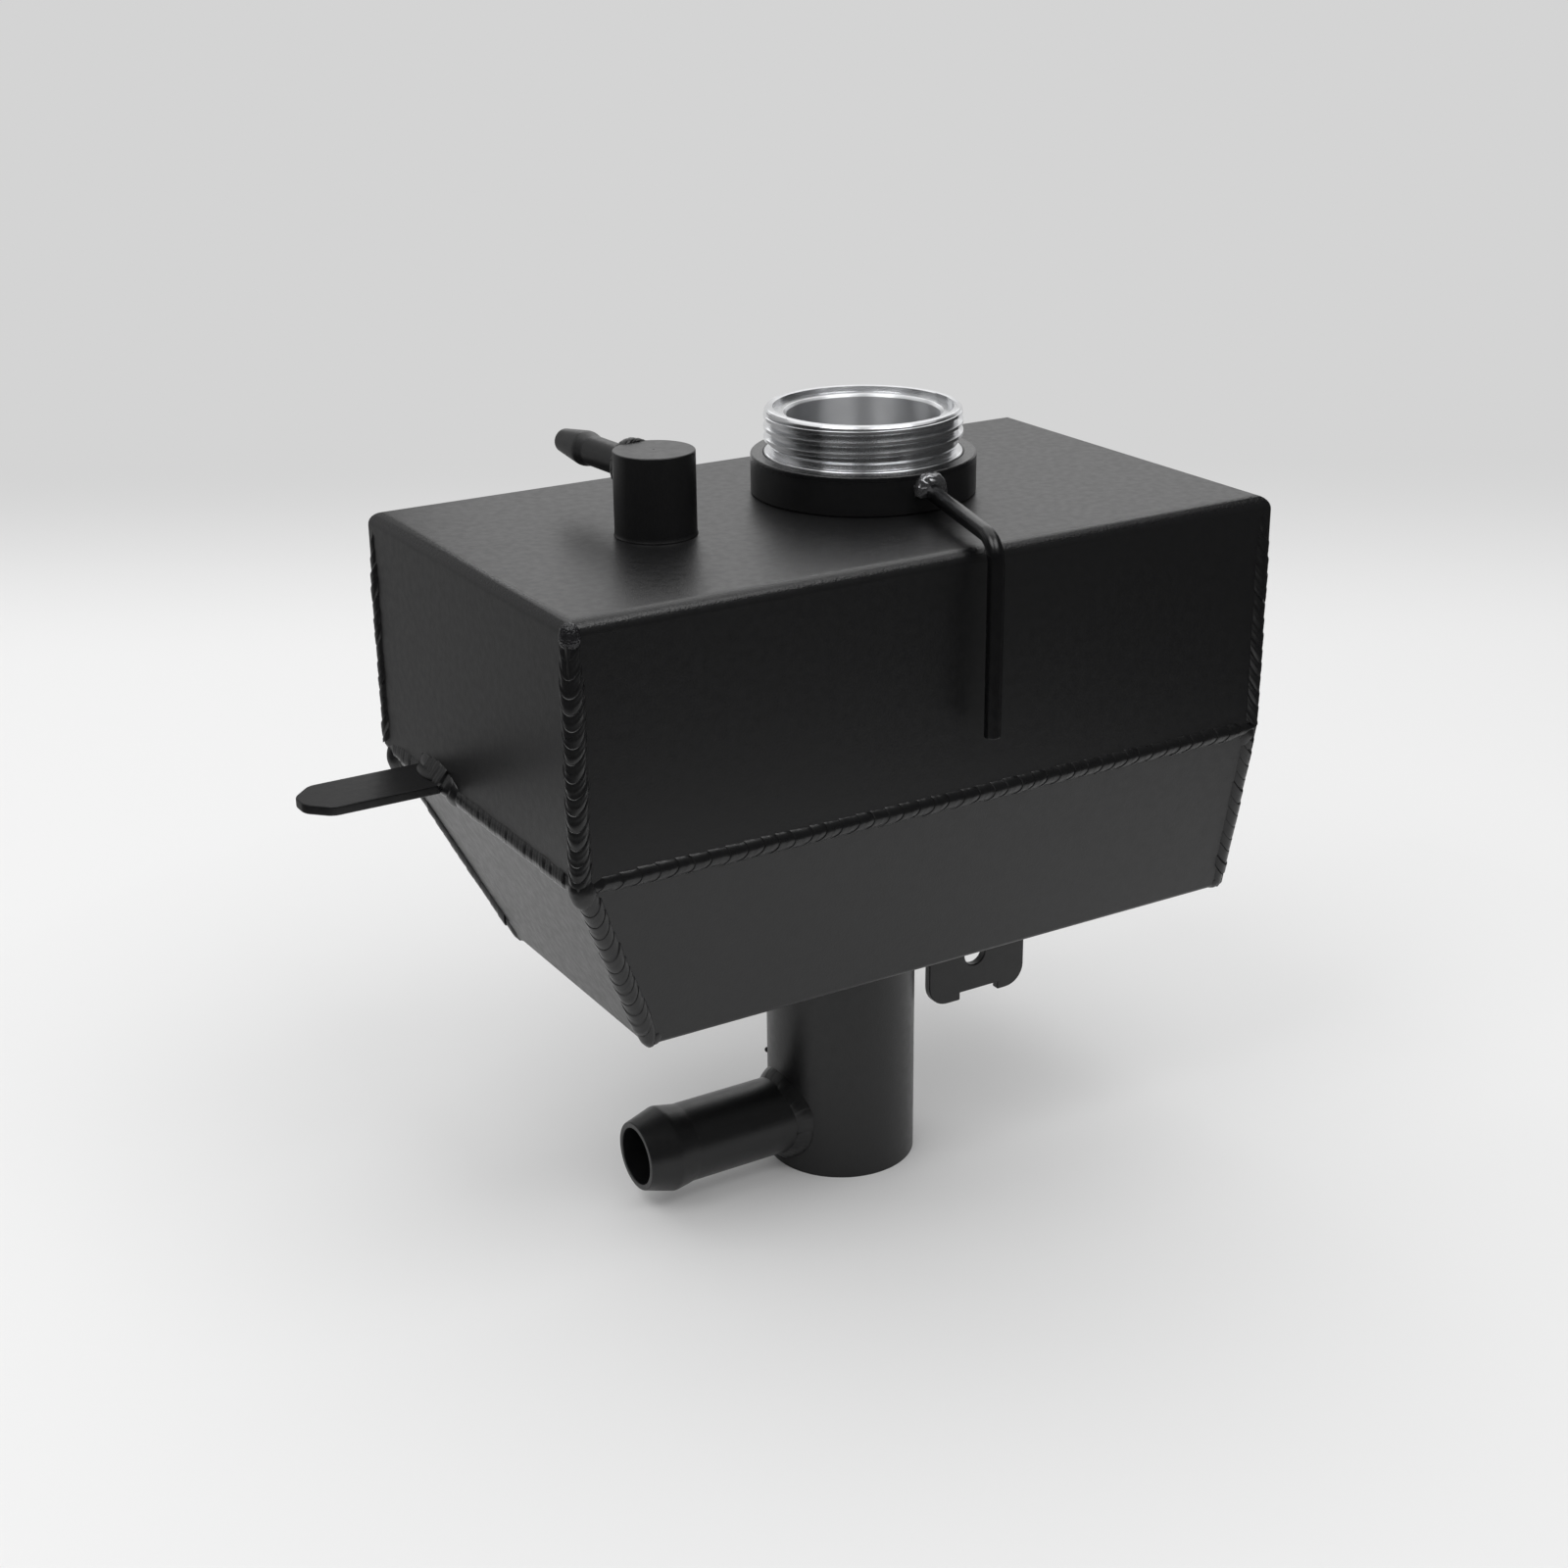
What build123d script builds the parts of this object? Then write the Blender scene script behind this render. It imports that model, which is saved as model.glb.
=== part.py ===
from build123d import *
import math
import os

# Coolant expansion tank: a folded cover welded on a tapering folded hopper, standing on a base tube.
# Millimetres, +Z up. +X runs along the tank's long side and +Y runs to the rear.
# The origin is the centre of the base tube's lower end.

# Sheet metal
SHEET = 2.5
INSIDE_FOLD_RADIUS = 1.0
TANK_LENGTH = 198.2
TANK_DEPTH = 112.0
COVER_HEIGHT = 62.0

# Hopper: its floor is set in from the cover's walls on three sides, and its right wall is upright
HOPPER_HEIGHT = 49.5
FLOOR_INSET_LEFT = 21.3
FLOOR_INSET_FRONT = 10.0
FLOOR_INSET_REAR = 29.0

# Base tube, measured from the tank's left and front walls to its axis
BASE_TUBE_OD = 40.0
BASE_TUBE_WALL = 2.5
BASE_TUBE_LENGTH = 69.2
BASE_TUBE_FROM_LEFT = 101.0
BASE_TUBE_FROM_FRONT = 50.6
END_PLUG_THICKNESS = 3.0

# Large hose tail on the base tube
SIDE_TAIL_HEIGHT = 14.6
SIDE_TAIL_REACH = 63.6
SIDE_TAIL_OD = 21.0
SIDE_TAIL_BORE = 15.3
SIDE_TAIL_CREST_OD = 23.0
SIDE_TAIL_END_OD = 18.4
SIDE_TAIL_CONE = 7.8
SIDE_TAIL_LAND = 1.0
SIDE_TAIL_FALL = 5.0

# Filler collar and screw neck, measured from the tank's left and front walls to their axis
FILLER_FROM_LEFT = 115.7
FILLER_FROM_FRONT = 62.4
COLLAR_OD = 57.8
COLLAR_HEIGHT = 10.2
NECK_THREAD_OD = 50.9
NECK_UNDERCUT_OD = 47.2
NECK_UNDERCUT_HEIGHT = 1.8
NECK_THREAD_HEIGHT = 8.4
NECK_RIM_HEIGHT = 1.4
NECK_RIM_OD = 50.4
NECK_BORE = 39.2
NECK_RECESS_DIAMETER = 46.0
NECK_RECESS_DEPTH = 1.4
NECK_EDGE = 0.5
SHEET_HOLE_CLEARANCE = 1.0

# Overflow pipe: it leaves the collar low at the front, runs over the fold and drops down the front
OVERFLOW_OD = 4.1
OVERFLOW_BORE = 2.5
OVERFLOW_PORT_SHIFT = 0.7
OVERFLOW_PORT_RISE = 5.7
OVERFLOW_BEND_RISE = 3.5
OVERFLOW_BEND_RADIUS = 6.5
OVERFLOW_DROP_SHIFT = 8.0
OVERFLOW_STANDOFF = 7.0
OVERFLOW_END_DROP = 44.8

# Vent boss and its small hose tail, measured from the tank's left and front walls
BOSS_FROM_LEFT = 50.6
BOSS_FROM_FRONT = 53.4
BOSS_OD = 20.0
BOSS_HEIGHT = 20.7
BOSS_BORE = 9.0
BOSS_ROOF = 2.5
BOSS_EDGE = 0.6
VENT_TAIL_HEIGHT = 15.0
VENT_TAIL_ANGLE = 4.0
VENT_TAIL_REACH = 42.5
VENT_TAIL_OD = 7.6
VENT_TAIL_BORE = 4.4
VENT_TAIL_CREST_OD = 8.8
VENT_TAIL_END_OD = 6.0
VENT_TAIL_CONE = 10.5
VENT_TAIL_LAND = 1.0
VENT_TAIL_FALL = 3.0

# Side tab, at the height of the seam between cover and hopper
TAB_THICKNESS = 2.5
TAB_WIDTH = 17.0
TAB_REACH = 35.4
TAB_FROM_FRONT = 79.5
TAB_ABOVE_SEAM = 2.4
TAB_CHAMFER = 5.5

# Bottom bracket, an upright plate in line with the base tube's axis
BRACKET_THICKNESS = 2.5
BRACKET_WIDTH = 32.0
BRACKET_DROP = 35.7
BRACKET_FROM_TUBE = 28.5
BRACKET_HOLE = 6.8
BRACKET_HOLE_DROP = 22.5
BRACKET_HOLE_FROM_LEFT = 15.2
BRACKET_CORNER = 6.0
BRACKET_NOTCH_WIDTH = 12.8
BRACKET_NOTCH_DEPTH = 2.2
BRACKET_NOTCH_FROM_LEFT = 10.4

# Weld beads
CORNER_BEAD_RADIUS = 2.7
SEAM_BEAD_RADIUS = 3.0
BEAD_SINK = 0.64
SMALL_BEAD_RADIUS = 2.4
SMALL_BEAD_LIFT = 1.0
RIPPLE_PITCH = 3.6
RIPPLE_DEPTH = 0.2
BEAD_CAP = 0.55
BEAD_TURN = 37.0
TUBE_BEAD_LEG = 4.5
TAIL_BEAD_LEG = 4.0
VENT_BEAD_LEG = 2.0
OVERFLOW_BEAD_LEG = 2.2

# Places worked out from the sizes
LEFT = -BASE_TUBE_FROM_LEFT
RIGHT = LEFT + TANK_LENGTH
FRONT = -BASE_TUBE_FROM_FRONT
REAR = FRONT + TANK_DEPTH
FLOOR_Z = BASE_TUBE_LENGTH
SEAM_Z = FLOOR_Z + HOPPER_HEIGHT
TOP_Z = SEAM_Z + COVER_HEIGHT
OUTSIDE_FOLD_RADIUS = INSIDE_FOLD_RADIUS + SHEET
FILLER_X = LEFT + FILLER_FROM_LEFT
FILLER_Y = FRONT + FILLER_FROM_FRONT
BOSS_X = LEFT + BOSS_FROM_LEFT
BOSS_Y = FRONT + BOSS_FROM_FRONT
TAB_Y = FRONT + TAB_FROM_FRONT
COLLAR_TOP_Z = TOP_Z + COLLAR_HEIGHT
VENT_TAIL_Z = TOP_Z + VENT_TAIL_HEIGHT

ON_BASE = (Align.CENTER, Align.CENTER, Align.MIN)


def box_between(low, high):
    """A box from its lowest corner to its highest."""
    size = Vector(*high) - Vector(*low)
    return Pos(*low) * Box(size.X, size.Y, size.Z, align=Align.MIN)


def rod_between(start, end, radius):
    run = Vector(*end) - Vector(*start)
    return Plane(origin=start, z_dir=run) * Cylinder(radius, run.length, align=ON_BASE)


def turned(outline):
    """A turned part from its outline of (radius, height) points."""
    return revolve(make_face(Polyline(*[(r, 0, z) for r, z in outline], close=True)), Axis.Z)


def round_top_edges(block, radius):
    return fillet(block.faces().sort_by(Axis.Z)[-1].edges(), radius)


# Sheet metal

def cover_form():
    """The outside of the cover as a solid block."""
    return round_top_edges(box_between((LEFT, FRONT, SEAM_Z), (RIGHT, REAR, TOP_Z)), OUTSIDE_FOLD_RADIUS)


def upper_shell():
    """Five-sided cover, open below, with the holes that the neck and the boss stand over."""
    hollow = box_between(
        (LEFT + SHEET, FRONT + SHEET, SEAM_Z),
        (RIGHT - SHEET, REAR - SHEET, TOP_Z - SHEET),
    )
    cover = cover_form() - round_top_edges(hollow, INSIDE_FOLD_RADIUS)
    hole_bottom = TOP_Z - 2 * SHEET
    cover -= rod_between(
        (FILLER_X, FILLER_Y, hole_bottom), (FILLER_X, FILLER_Y, TOP_Z), NECK_BORE / 2 + SHEET_HOLE_CLEARANCE
    )
    cover -= rod_between((BOSS_X, BOSS_Y, hole_bottom), (BOSS_X, BOSS_Y, TOP_Z), BOSS_BORE / 2)
    return cover


def hopper_section(left, right, front, rear, z):
    """A level rectangle of the hopper between four walls."""
    return Pos((left + right) / 2, (front + rear) / 2, z) * Rectangle(right - left, rear - front)


def level_wall(inset):
    """The sheet's thickness measured level through a wall that leans in by inset over the hopper."""
    return SHEET * math.hypot(inset, HOPPER_HEIGHT) / HOPPER_HEIGHT


def hopper_form():
    """The outside of the hopper as a solid block."""
    block = loft(
        [
            hopper_section(
                LEFT + FLOOR_INSET_LEFT, RIGHT, FRONT + FLOOR_INSET_FRONT, REAR - FLOOR_INSET_REAR, FLOOR_Z
            ),
            hopper_section(LEFT, RIGHT, FRONT, REAR, SEAM_Z),
        ],
        ruled=True,
    )
    return fillet(block.faces().sort_by(Axis.Z)[0].edges(), OUTSIDE_FOLD_RADIUS)


def lower_hopper():
    """Tapering pan, open above, with the hole over the base tube."""
    inner_left = LEFT + level_wall(FLOOR_INSET_LEFT)
    inner_front = FRONT + level_wall(FLOOR_INSET_FRONT)
    inner_rear = REAR - level_wall(FLOOR_INSET_REAR)
    lean = (HOPPER_HEIGHT - SHEET) / HOPPER_HEIGHT
    inside = loft(
        [
            hopper_section(
                inner_left + lean * FLOOR_INSET_LEFT,
                RIGHT - SHEET,
                inner_front + lean * FLOOR_INSET_FRONT,
                inner_rear - lean * FLOOR_INSET_REAR,
                FLOOR_Z + SHEET,
            ),
            hopper_section(inner_left, RIGHT - SHEET, inner_front, inner_rear, SEAM_Z),
        ],
        ruled=True,
    )
    drain = rod_between((0, 0, FLOOR_Z), (0, 0, FLOOR_Z + 2 * SHEET), BASE_TUBE_OD / 2 - BASE_TUBE_WALL)
    return hopper_form() - inside - drain


def side_tab():
    """Flat plate with a chamfered tip, standing out of the left end over the seam bead."""
    bottom = SEAM_Z + TAB_ABOVE_SEAM - TAB_THICKNESS
    plate = box_between(
        (LEFT - TAB_REACH, TAB_Y - TAB_WIDTH / 2, bottom),
        (LEFT, TAB_Y + TAB_WIDTH / 2, bottom + TAB_THICKNESS),
    )
    tip_edges = plate.edges().filter_by(Axis.Z).group_by(Axis.X)[0]
    return chamfer(tip_edges, TAB_CHAMFER)


def bottom_bracket():
    """Upright plate under the hopper with one bolt hole and a shallow notch in its lower edge."""
    left = BRACKET_FROM_TUBE
    bottom = FLOOR_Z - BRACKET_DROP
    plate = box_between(
        (left, -BRACKET_THICKNESS / 2, bottom), (left + BRACKET_WIDTH, BRACKET_THICKNESS / 2, FLOOR_Z)
    )
    plate = fillet(plate.edges().filter_by(Axis.Y).group_by(Axis.Z)[0], BRACKET_CORNER)
    notch_left = left + BRACKET_NOTCH_FROM_LEFT
    plate -= box_between(
        (notch_left, -BRACKET_THICKNESS, bottom - BRACKET_NOTCH_DEPTH),
        (notch_left + BRACKET_NOTCH_WIDTH, BRACKET_THICKNESS, bottom + BRACKET_NOTCH_DEPTH),
    )
    hole_x = left + BRACKET_HOLE_FROM_LEFT
    hole_z = FLOOR_Z - BRACKET_HOLE_DROP
    plate -= rod_between(
        (hole_x, -BRACKET_THICKNESS, hole_z), (hole_x, BRACKET_THICKNESS, hole_z), BRACKET_HOLE / 2
    )
    return plate


# Tubes and hose tails

def base_tube():
    """Round tube from the hopper's floor to the foot, with the side tail's port through its wall."""
    tube = Cylinder(BASE_TUBE_OD / 2, BASE_TUBE_LENGTH, align=ON_BASE)
    tube -= Cylinder(BASE_TUBE_OD / 2 - BASE_TUBE_WALL, BASE_TUBE_LENGTH, align=ON_BASE)
    port = rod_between((0, 0, SIDE_TAIL_HEIGHT), (-BASE_TUBE_OD, 0, SIDE_TAIL_HEIGHT), SIDE_TAIL_BORE / 2)
    return tube - port


def base_tube_end_plug():
    return Cylinder(BASE_TUBE_OD / 2 - BASE_TUBE_WALL, END_PLUG_THICKNESS, align=ON_BASE)


def hose_tail(start, direction, reach, outside, bore, crest, end, cone, land, fall):
    """Tube with one barb: a cone from the open end up to the crest, and a fall back to the tube."""
    outline = [
        (bore / 2, 0),
        (outside / 2, 0),
        (outside / 2, reach - cone - land - fall),
        (crest / 2, reach - cone - land),
        (crest / 2, reach - cone),
        (end / 2, reach),
        (bore / 2, reach),
    ]
    return Plane(origin=start, z_dir=direction) * turned(outline)


def side_hose_tail():
    """Large tail whose root is cut to the curve of the base tube."""
    tail = hose_tail(
        (0, 0, SIDE_TAIL_HEIGHT),
        (-1, 0, 0),
        SIDE_TAIL_REACH,
        SIDE_TAIL_OD,
        SIDE_TAIL_BORE,
        SIDE_TAIL_CREST_OD,
        SIDE_TAIL_END_OD,
        SIDE_TAIL_CONE,
        SIDE_TAIL_LAND,
        SIDE_TAIL_FALL,
    )
    return tail - Cylinder(BASE_TUBE_OD / 2, BASE_TUBE_LENGTH, align=ON_BASE)


# Filler

def overflow_corners():
    """The overflow pipe's run: its port in the collar, its bend over the front and its lower end."""
    collar_radius = COLLAR_OD / 2
    port = Vector(
        FILLER_X + OVERFLOW_PORT_SHIFT,
        FILLER_Y - math.sqrt(collar_radius ** 2 - OVERFLOW_PORT_SHIFT ** 2),
        TOP_Z + OVERFLOW_PORT_RISE,
    )
    drop_x = FILLER_X - OVERFLOW_DROP_SHIFT
    drop_y = FRONT - OVERFLOW_STANDOFF
    bend = Vector(drop_x, drop_y, TOP_Z + OVERFLOW_BEND_RISE)
    end = Vector(drop_x, drop_y, TOP_Z - OVERFLOW_END_DROP)
    return port, bend, end


def overflow_port():
    """The drilled way from the pipe through the collar and the neck into the neck's bore."""
    port, bend, end = overflow_corners()
    inward = (port - bend).normalized()
    return rod_between(port - inward, port + inward * (COLLAR_OD - NECK_BORE), OVERFLOW_BORE / 2)


def filler_collar():
    """Plain ring round the foot of the neck, with the overflow's port."""
    outline = [
        (NECK_THREAD_OD / 2, TOP_Z),
        (COLLAR_OD / 2, TOP_Z),
        (COLLAR_OD / 2, COLLAR_TOP_Z - NECK_EDGE),
        (COLLAR_OD / 2 - NECK_EDGE, COLLAR_TOP_Z),
        (NECK_THREAD_OD / 2, COLLAR_TOP_Z),
    ]
    return Pos(FILLER_X, FILLER_Y, 0) * turned(outline) - overflow_port()


def filler_neck():
    """Turned neck: a foot inside the collar, an undercut, the thread's land and a recessed rim."""
    thread_bottom = COLLAR_TOP_Z + NECK_UNDERCUT_HEIGHT
    thread_top = thread_bottom + NECK_THREAD_HEIGHT
    rim_top = thread_top + NECK_RIM_HEIGHT
    outline = [
        (NECK_BORE / 2, TOP_Z),
        (NECK_THREAD_OD / 2, TOP_Z),
        (NECK_THREAD_OD / 2, COLLAR_TOP_Z),
        (NECK_UNDERCUT_OD / 2, COLLAR_TOP_Z),
        (NECK_UNDERCUT_OD / 2, thread_bottom),
        (NECK_THREAD_OD / 2, thread_bottom + (NECK_THREAD_OD - NECK_UNDERCUT_OD) / 4),
        (NECK_THREAD_OD / 2, thread_top),
        (NECK_RIM_OD / 2, thread_top),
        (NECK_RIM_OD / 2, rim_top - NECK_EDGE),
        (NECK_RIM_OD / 2 - NECK_EDGE, rim_top),
        (NECK_RECESS_DIAMETER / 2, rim_top),
        (NECK_RECESS_DIAMETER / 2, rim_top - NECK_RECESS_DEPTH),
        (NECK_BORE / 2 + NECK_EDGE, rim_top - NECK_RECESS_DEPTH),
        (NECK_BORE / 2, rim_top - NECK_RECESS_DEPTH - NECK_EDGE),
    ]
    return Pos(FILLER_X, FILLER_Y, 0) * turned(outline) - overflow_port()


def overflow_pipe():
    """Thin bent pipe, its upper end cut to the curve of the collar."""
    port, bend, end = overflow_corners()
    root = port + (port - bend).normalized() * OVERFLOW_OD
    route = FilletPolyline(root, bend, end, radius=OVERFLOW_BEND_RADIUS)
    ring = Circle(OVERFLOW_OD / 2) - Circle(OVERFLOW_BORE / 2)
    pipe = sweep(Plane(origin=root, z_dir=bend - root) * ring, path=route)
    return pipe - Pos(FILLER_X, FILLER_Y, TOP_Z) * Cylinder(COLLAR_OD / 2, COLLAR_HEIGHT, align=ON_BASE)


# Vent

def vent_direction():
    angle = math.radians(VENT_TAIL_ANGLE)
    return Vector(-math.sin(angle), math.cos(angle), 0)


def vent_boss():
    """Round boss with a blind bore from below and a cross port to the vent tail."""
    boss = Pos(BOSS_X, BOSS_Y, TOP_Z) * Cylinder(BOSS_OD / 2, BOSS_HEIGHT, align=ON_BASE)
    boss = chamfer(boss.faces().sort_by(Axis.Z)[-1].edges(), BOSS_EDGE)
    boss -= Pos(BOSS_X, BOSS_Y, TOP_Z) * Cylinder(BOSS_BORE / 2, BOSS_HEIGHT - BOSS_ROOF, align=ON_BASE)
    start = Vector(BOSS_X, BOSS_Y, VENT_TAIL_Z)
    return boss - rod_between(start, start + vent_direction() * BOSS_OD, VENT_TAIL_BORE / 2)


def vent_hose_tail():
    tail = hose_tail(
        (BOSS_X, BOSS_Y, VENT_TAIL_Z),
        vent_direction(),
        VENT_TAIL_REACH,
        VENT_TAIL_OD,
        VENT_TAIL_BORE,
        VENT_TAIL_CREST_OD,
        VENT_TAIL_END_OD,
        VENT_TAIL_CONE,
        VENT_TAIL_LAND,
        VENT_TAIL_FALL,
    )
    return tail - Pos(BOSS_X, BOSS_Y, TOP_Z) * Cylinder(BOSS_OD / 2, BOSS_HEIGHT, align=ON_BASE)


# Weld beads

def rippled_rod(start, end, radius):
    """A bead like a stack of coins: a ridged rod from start to end with a low dome at each end."""
    run = Vector(*end) - Vector(*start)
    ripples = max(2, round(run.length / RIPPLE_PITCH))
    pitch = run.length / ripples
    valley = radius - RIPPLE_DEPTH
    cap = BEAD_CAP * radius
    outline = [(0, -cap), (0.6 * valley, -0.75 * cap)]
    for ripple in range(ripples):
        outline.append((valley, ripple * pitch))
        outline.append((radius, (ripple + 0.5) * pitch))
    outline += [(valley, run.length), (0.6 * valley, run.length + 0.75 * cap), (0, run.length + cap)]
    return Plane(origin=start, z_dir=run) * (Rot(0, 0, BEAD_TURN) * turned(outline))


def largest_solid(shape):
    return shape.solids().sort_by(SortBy.VOLUME)[-1]


def inset_corner(corner, inset):
    """A corner of the tank's plan moved by inset towards the middle along both sides."""
    x, y = corner
    toward_x = math.copysign(1, (LEFT + RIGHT) / 2 - x)
    toward_y = math.copysign(1, (FRONT + REAR) / 2 - y)
    return x + toward_x * inset, y + toward_y * inset


def bead_axis(corner, z, radius):
    """A point on a bead's axis, sunk inside a corner of the tank's plan."""
    return (*inset_corner(corner, BEAD_SINK * radius), z)


CORNERS = {
    "front_left": (LEFT, FRONT),
    "front_right": (RIGHT, FRONT),
    "rear_right": (RIGHT, REAR),
    "rear_left": (LEFT, REAR),
}
FLOOR_CORNERS = {
    "front_left": (LEFT + FLOOR_INSET_LEFT, FRONT + FLOOR_INSET_FRONT),
    "front_right": (RIGHT, FRONT + FLOOR_INSET_FRONT),
    "rear_right": (RIGHT, REAR - FLOOR_INSET_REAR),
    "rear_left": (LEFT + FLOOR_INSET_LEFT, REAR - FLOOR_INSET_REAR),
}
SEAMS = {
    "front": ("front_left", "front_right"),
    "rear": ("rear_right", "rear_left"),
    "left": ("rear_left", "front_left"),
    "right": ("front_right", "rear_right"),
}


def mitre_block(first, last):
    """The space outside one wall, cut off at both ends by the diagonals of the tank's corners."""
    reach = 2 * SEAM_BEAD_RADIUS
    plan = []
    for corner, inset in ((first, -reach), (first, reach), (last, reach), (last, -reach)):
        plan.append((*inset_corner(CORNERS[corner], inset), SEAM_Z - reach))
    return extrude(make_face(Polyline(*plan, close=True)), 2 * reach, dir=(0, 0, 1))


def seam_welds():
    """The four runs between cover and hopper, mitred where they meet."""
    runs = {}
    for side, (first, last) in SEAMS.items():
        start = bead_axis(CORNERS[first], SEAM_Z, SEAM_BEAD_RADIUS)
        end = bead_axis(CORNERS[last], SEAM_Z, SEAM_BEAD_RADIUS)
        past = (Vector(*end) - Vector(*start)).normalized() * SEAM_BEAD_RADIUS
        rod = rippled_rod(Vector(*start) - past, Vector(*end) + past, SEAM_BEAD_RADIUS)
        runs[side] = largest_solid((rod & mitre_block(first, last)) - cover_form() - hopper_form())
    return runs


def corner_welds():
    """The upright corner beads of the cover and the leaning corner beads of the hopper."""
    welds = {}
    cap = BEAD_CAP * CORNER_BEAD_RADIUS
    block = BASE_TUBE_OD
    for name, corner in CORNERS.items():
        seam_end = bead_axis(corner, SEAM_Z, CORNER_BEAD_RADIUS)
        top_end = bead_axis(corner, TOP_Z - cap, CORNER_BEAD_RADIUS)
        floor_end = bead_axis(FLOOR_CORNERS[name], FLOOR_Z + cap, CORNER_BEAD_RADIUS)
        upper = rippled_rod(seam_end, top_end, CORNER_BEAD_RADIUS)
        lower = rippled_rod(floor_end, seam_end, CORNER_BEAD_RADIUS)
        beside_seam = Pos(*seam_end) * Box(block, block, 2 * SEAM_BEAD_RADIUS)
        welds["upper_corner_weld_" + name] = largest_solid(upper - beside_seam - cover_form())
        welds["hopper_corner_weld_" + name] = largest_solid(lower - beside_seam - hopper_form())
    return welds


def ring_bead(radius, leg):
    """A convex bead round an upright cylinder, on the level face at height 0."""
    bulge = 0.62 * leg
    outline = [
        Line((radius, 0, 0), (radius + leg, 0, 0)),
        ThreePointArc((radius + leg, 0, 0), (radius + bulge, 0, bulge), (radius, 0, leg)),
        Line((radius, 0, leg), (radius, 0, 0)),
    ]
    return revolve(make_face(outline), Axis.Z)


def saddle_bead(start, direction, carrier_radius, radius, leg):
    """A bead round a pipe where it meets a round carrier: a cone that narrows out along the pipe."""
    crown = carrier_radius + leg
    root = carrier_radius - leg
    cone = Pos(0, 0, root) * Cone(radius + 1.3 * leg, radius + 0.1 * leg, crown - root, align=ON_BASE)
    cone -= Cylinder(radius, 2 * crown, align=ON_BASE)
    return Plane(origin=start, z_dir=direction) * cone


def ring_welds(boss):
    """The beads round the base tube, the two tails and the overflow pipe's root."""
    tube_bead = Pos(0, 0, FLOOR_Z) * Rot(180, 0, 0) * ring_bead(BASE_TUBE_OD / 2, TUBE_BEAD_LEG)
    tail_bead = saddle_bead(
        (0, 0, SIDE_TAIL_HEIGHT), (-1, 0, 0), BASE_TUBE_OD / 2, SIDE_TAIL_OD / 2, TAIL_BEAD_LEG
    )
    tail_bead -= Cylinder(BASE_TUBE_OD / 2, BASE_TUBE_LENGTH, align=ON_BASE)
    vent_bead = saddle_bead(
        (BOSS_X, BOSS_Y, VENT_TAIL_Z), vent_direction(), BOSS_OD / 2, VENT_TAIL_OD / 2, VENT_BEAD_LEG
    )
    port, bend, end = overflow_corners()
    outward = (bend - port).normalized()
    overflow_bead = saddle_bead(
        port - outward * (COLLAR_OD / 2), outward, COLLAR_OD / 2, OVERFLOW_OD / 2, OVERFLOW_BEAD_LEG
    )
    collar = Pos(FILLER_X, FILLER_Y, TOP_Z) * Cylinder(COLLAR_OD / 2, COLLAR_HEIGHT, align=ON_BASE)
    return {
        "base_tube_weld": tube_bead,
        "side_tail_weld": largest_solid(tail_bead),
        "vent_tail_weld": largest_solid(vent_bead - boss),
        "overflow_pipe_weld": largest_solid(overflow_bead - collar),
    }


def tab_weld(tab, left_seam):
    """The bead along the top of the tab's root, on the seam bead."""
    x = LEFT - SMALL_BEAD_LIFT
    z = SEAM_Z + TAB_ABOVE_SEAM + SMALL_BEAD_LIFT
    start = (x, TAB_Y - TAB_WIDTH / 2, z)
    end = (x, TAB_Y + TAB_WIDTH / 2, z)
    return largest_solid(rippled_rod(start, end, SMALL_BEAD_RADIUS) - cover_form() - tab - left_seam)


def bracket_weld(bracket):
    """Two beads under the floor, one on each face of the bracket."""
    beads = []
    z = FLOOR_Z - SMALL_BEAD_LIFT
    for side in (-1, 1):
        y = side * (BRACKET_THICKNESS / 2 + SMALL_BEAD_LIFT)
        start = (BRACKET_FROM_TUBE + SMALL_BEAD_RADIUS, y, z)
        end = (BRACKET_FROM_TUBE + BRACKET_WIDTH - SMALL_BEAD_RADIUS, y, z)
        beads.append(largest_solid(rippled_rod(start, end, SMALL_BEAD_RADIUS) - hopper_form() - bracket))
    return Compound(beads)


def build():
    """Every node of the tank by its name."""
    runs = seam_welds()
    tab = largest_solid(side_tab() - runs["left"])
    bracket = bottom_bracket()
    boss = vent_boss()
    nodes = {
        "upper_shell": upper_shell(),
        "lower_hopper": lower_hopper(),
        "base_tube": base_tube(),
        "base_tube_end_plug": base_tube_end_plug(),
        "side_hose_tail": side_hose_tail(),
        "filler_collar": filler_collar(),
        "filler_neck": filler_neck(),
        "overflow_pipe": overflow_pipe(),
        "vent_boss": boss,
        "vent_hose_tail": vent_hose_tail(),
        "side_tab": tab,
        "bottom_bracket": bracket,
        "tab_weld": tab_weld(tab, runs["left"]),
        "bracket_weld": bracket_weld(bracket),
    }
    for side, run in runs.items():
        nodes["seam_weld_" + side] = run
    nodes.update(corner_welds())
    nodes.update(ring_welds(boss))
    return nodes


def main():
    os.makedirs("parts", exist_ok=True)
    for name, shape in build().items():
        export_step(shape, os.path.join("parts", name + ".step"))


main()
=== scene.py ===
"""Looks of a welded coolant expansion tank: black powder coat over folded sheet, tube and rippled weld
beads, and one bare turned neck. Every object is in metres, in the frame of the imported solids."""

import math
import random
from collections import namedtuple

import bmesh
import bpy
from mathutils import Matrix, Vector


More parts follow.
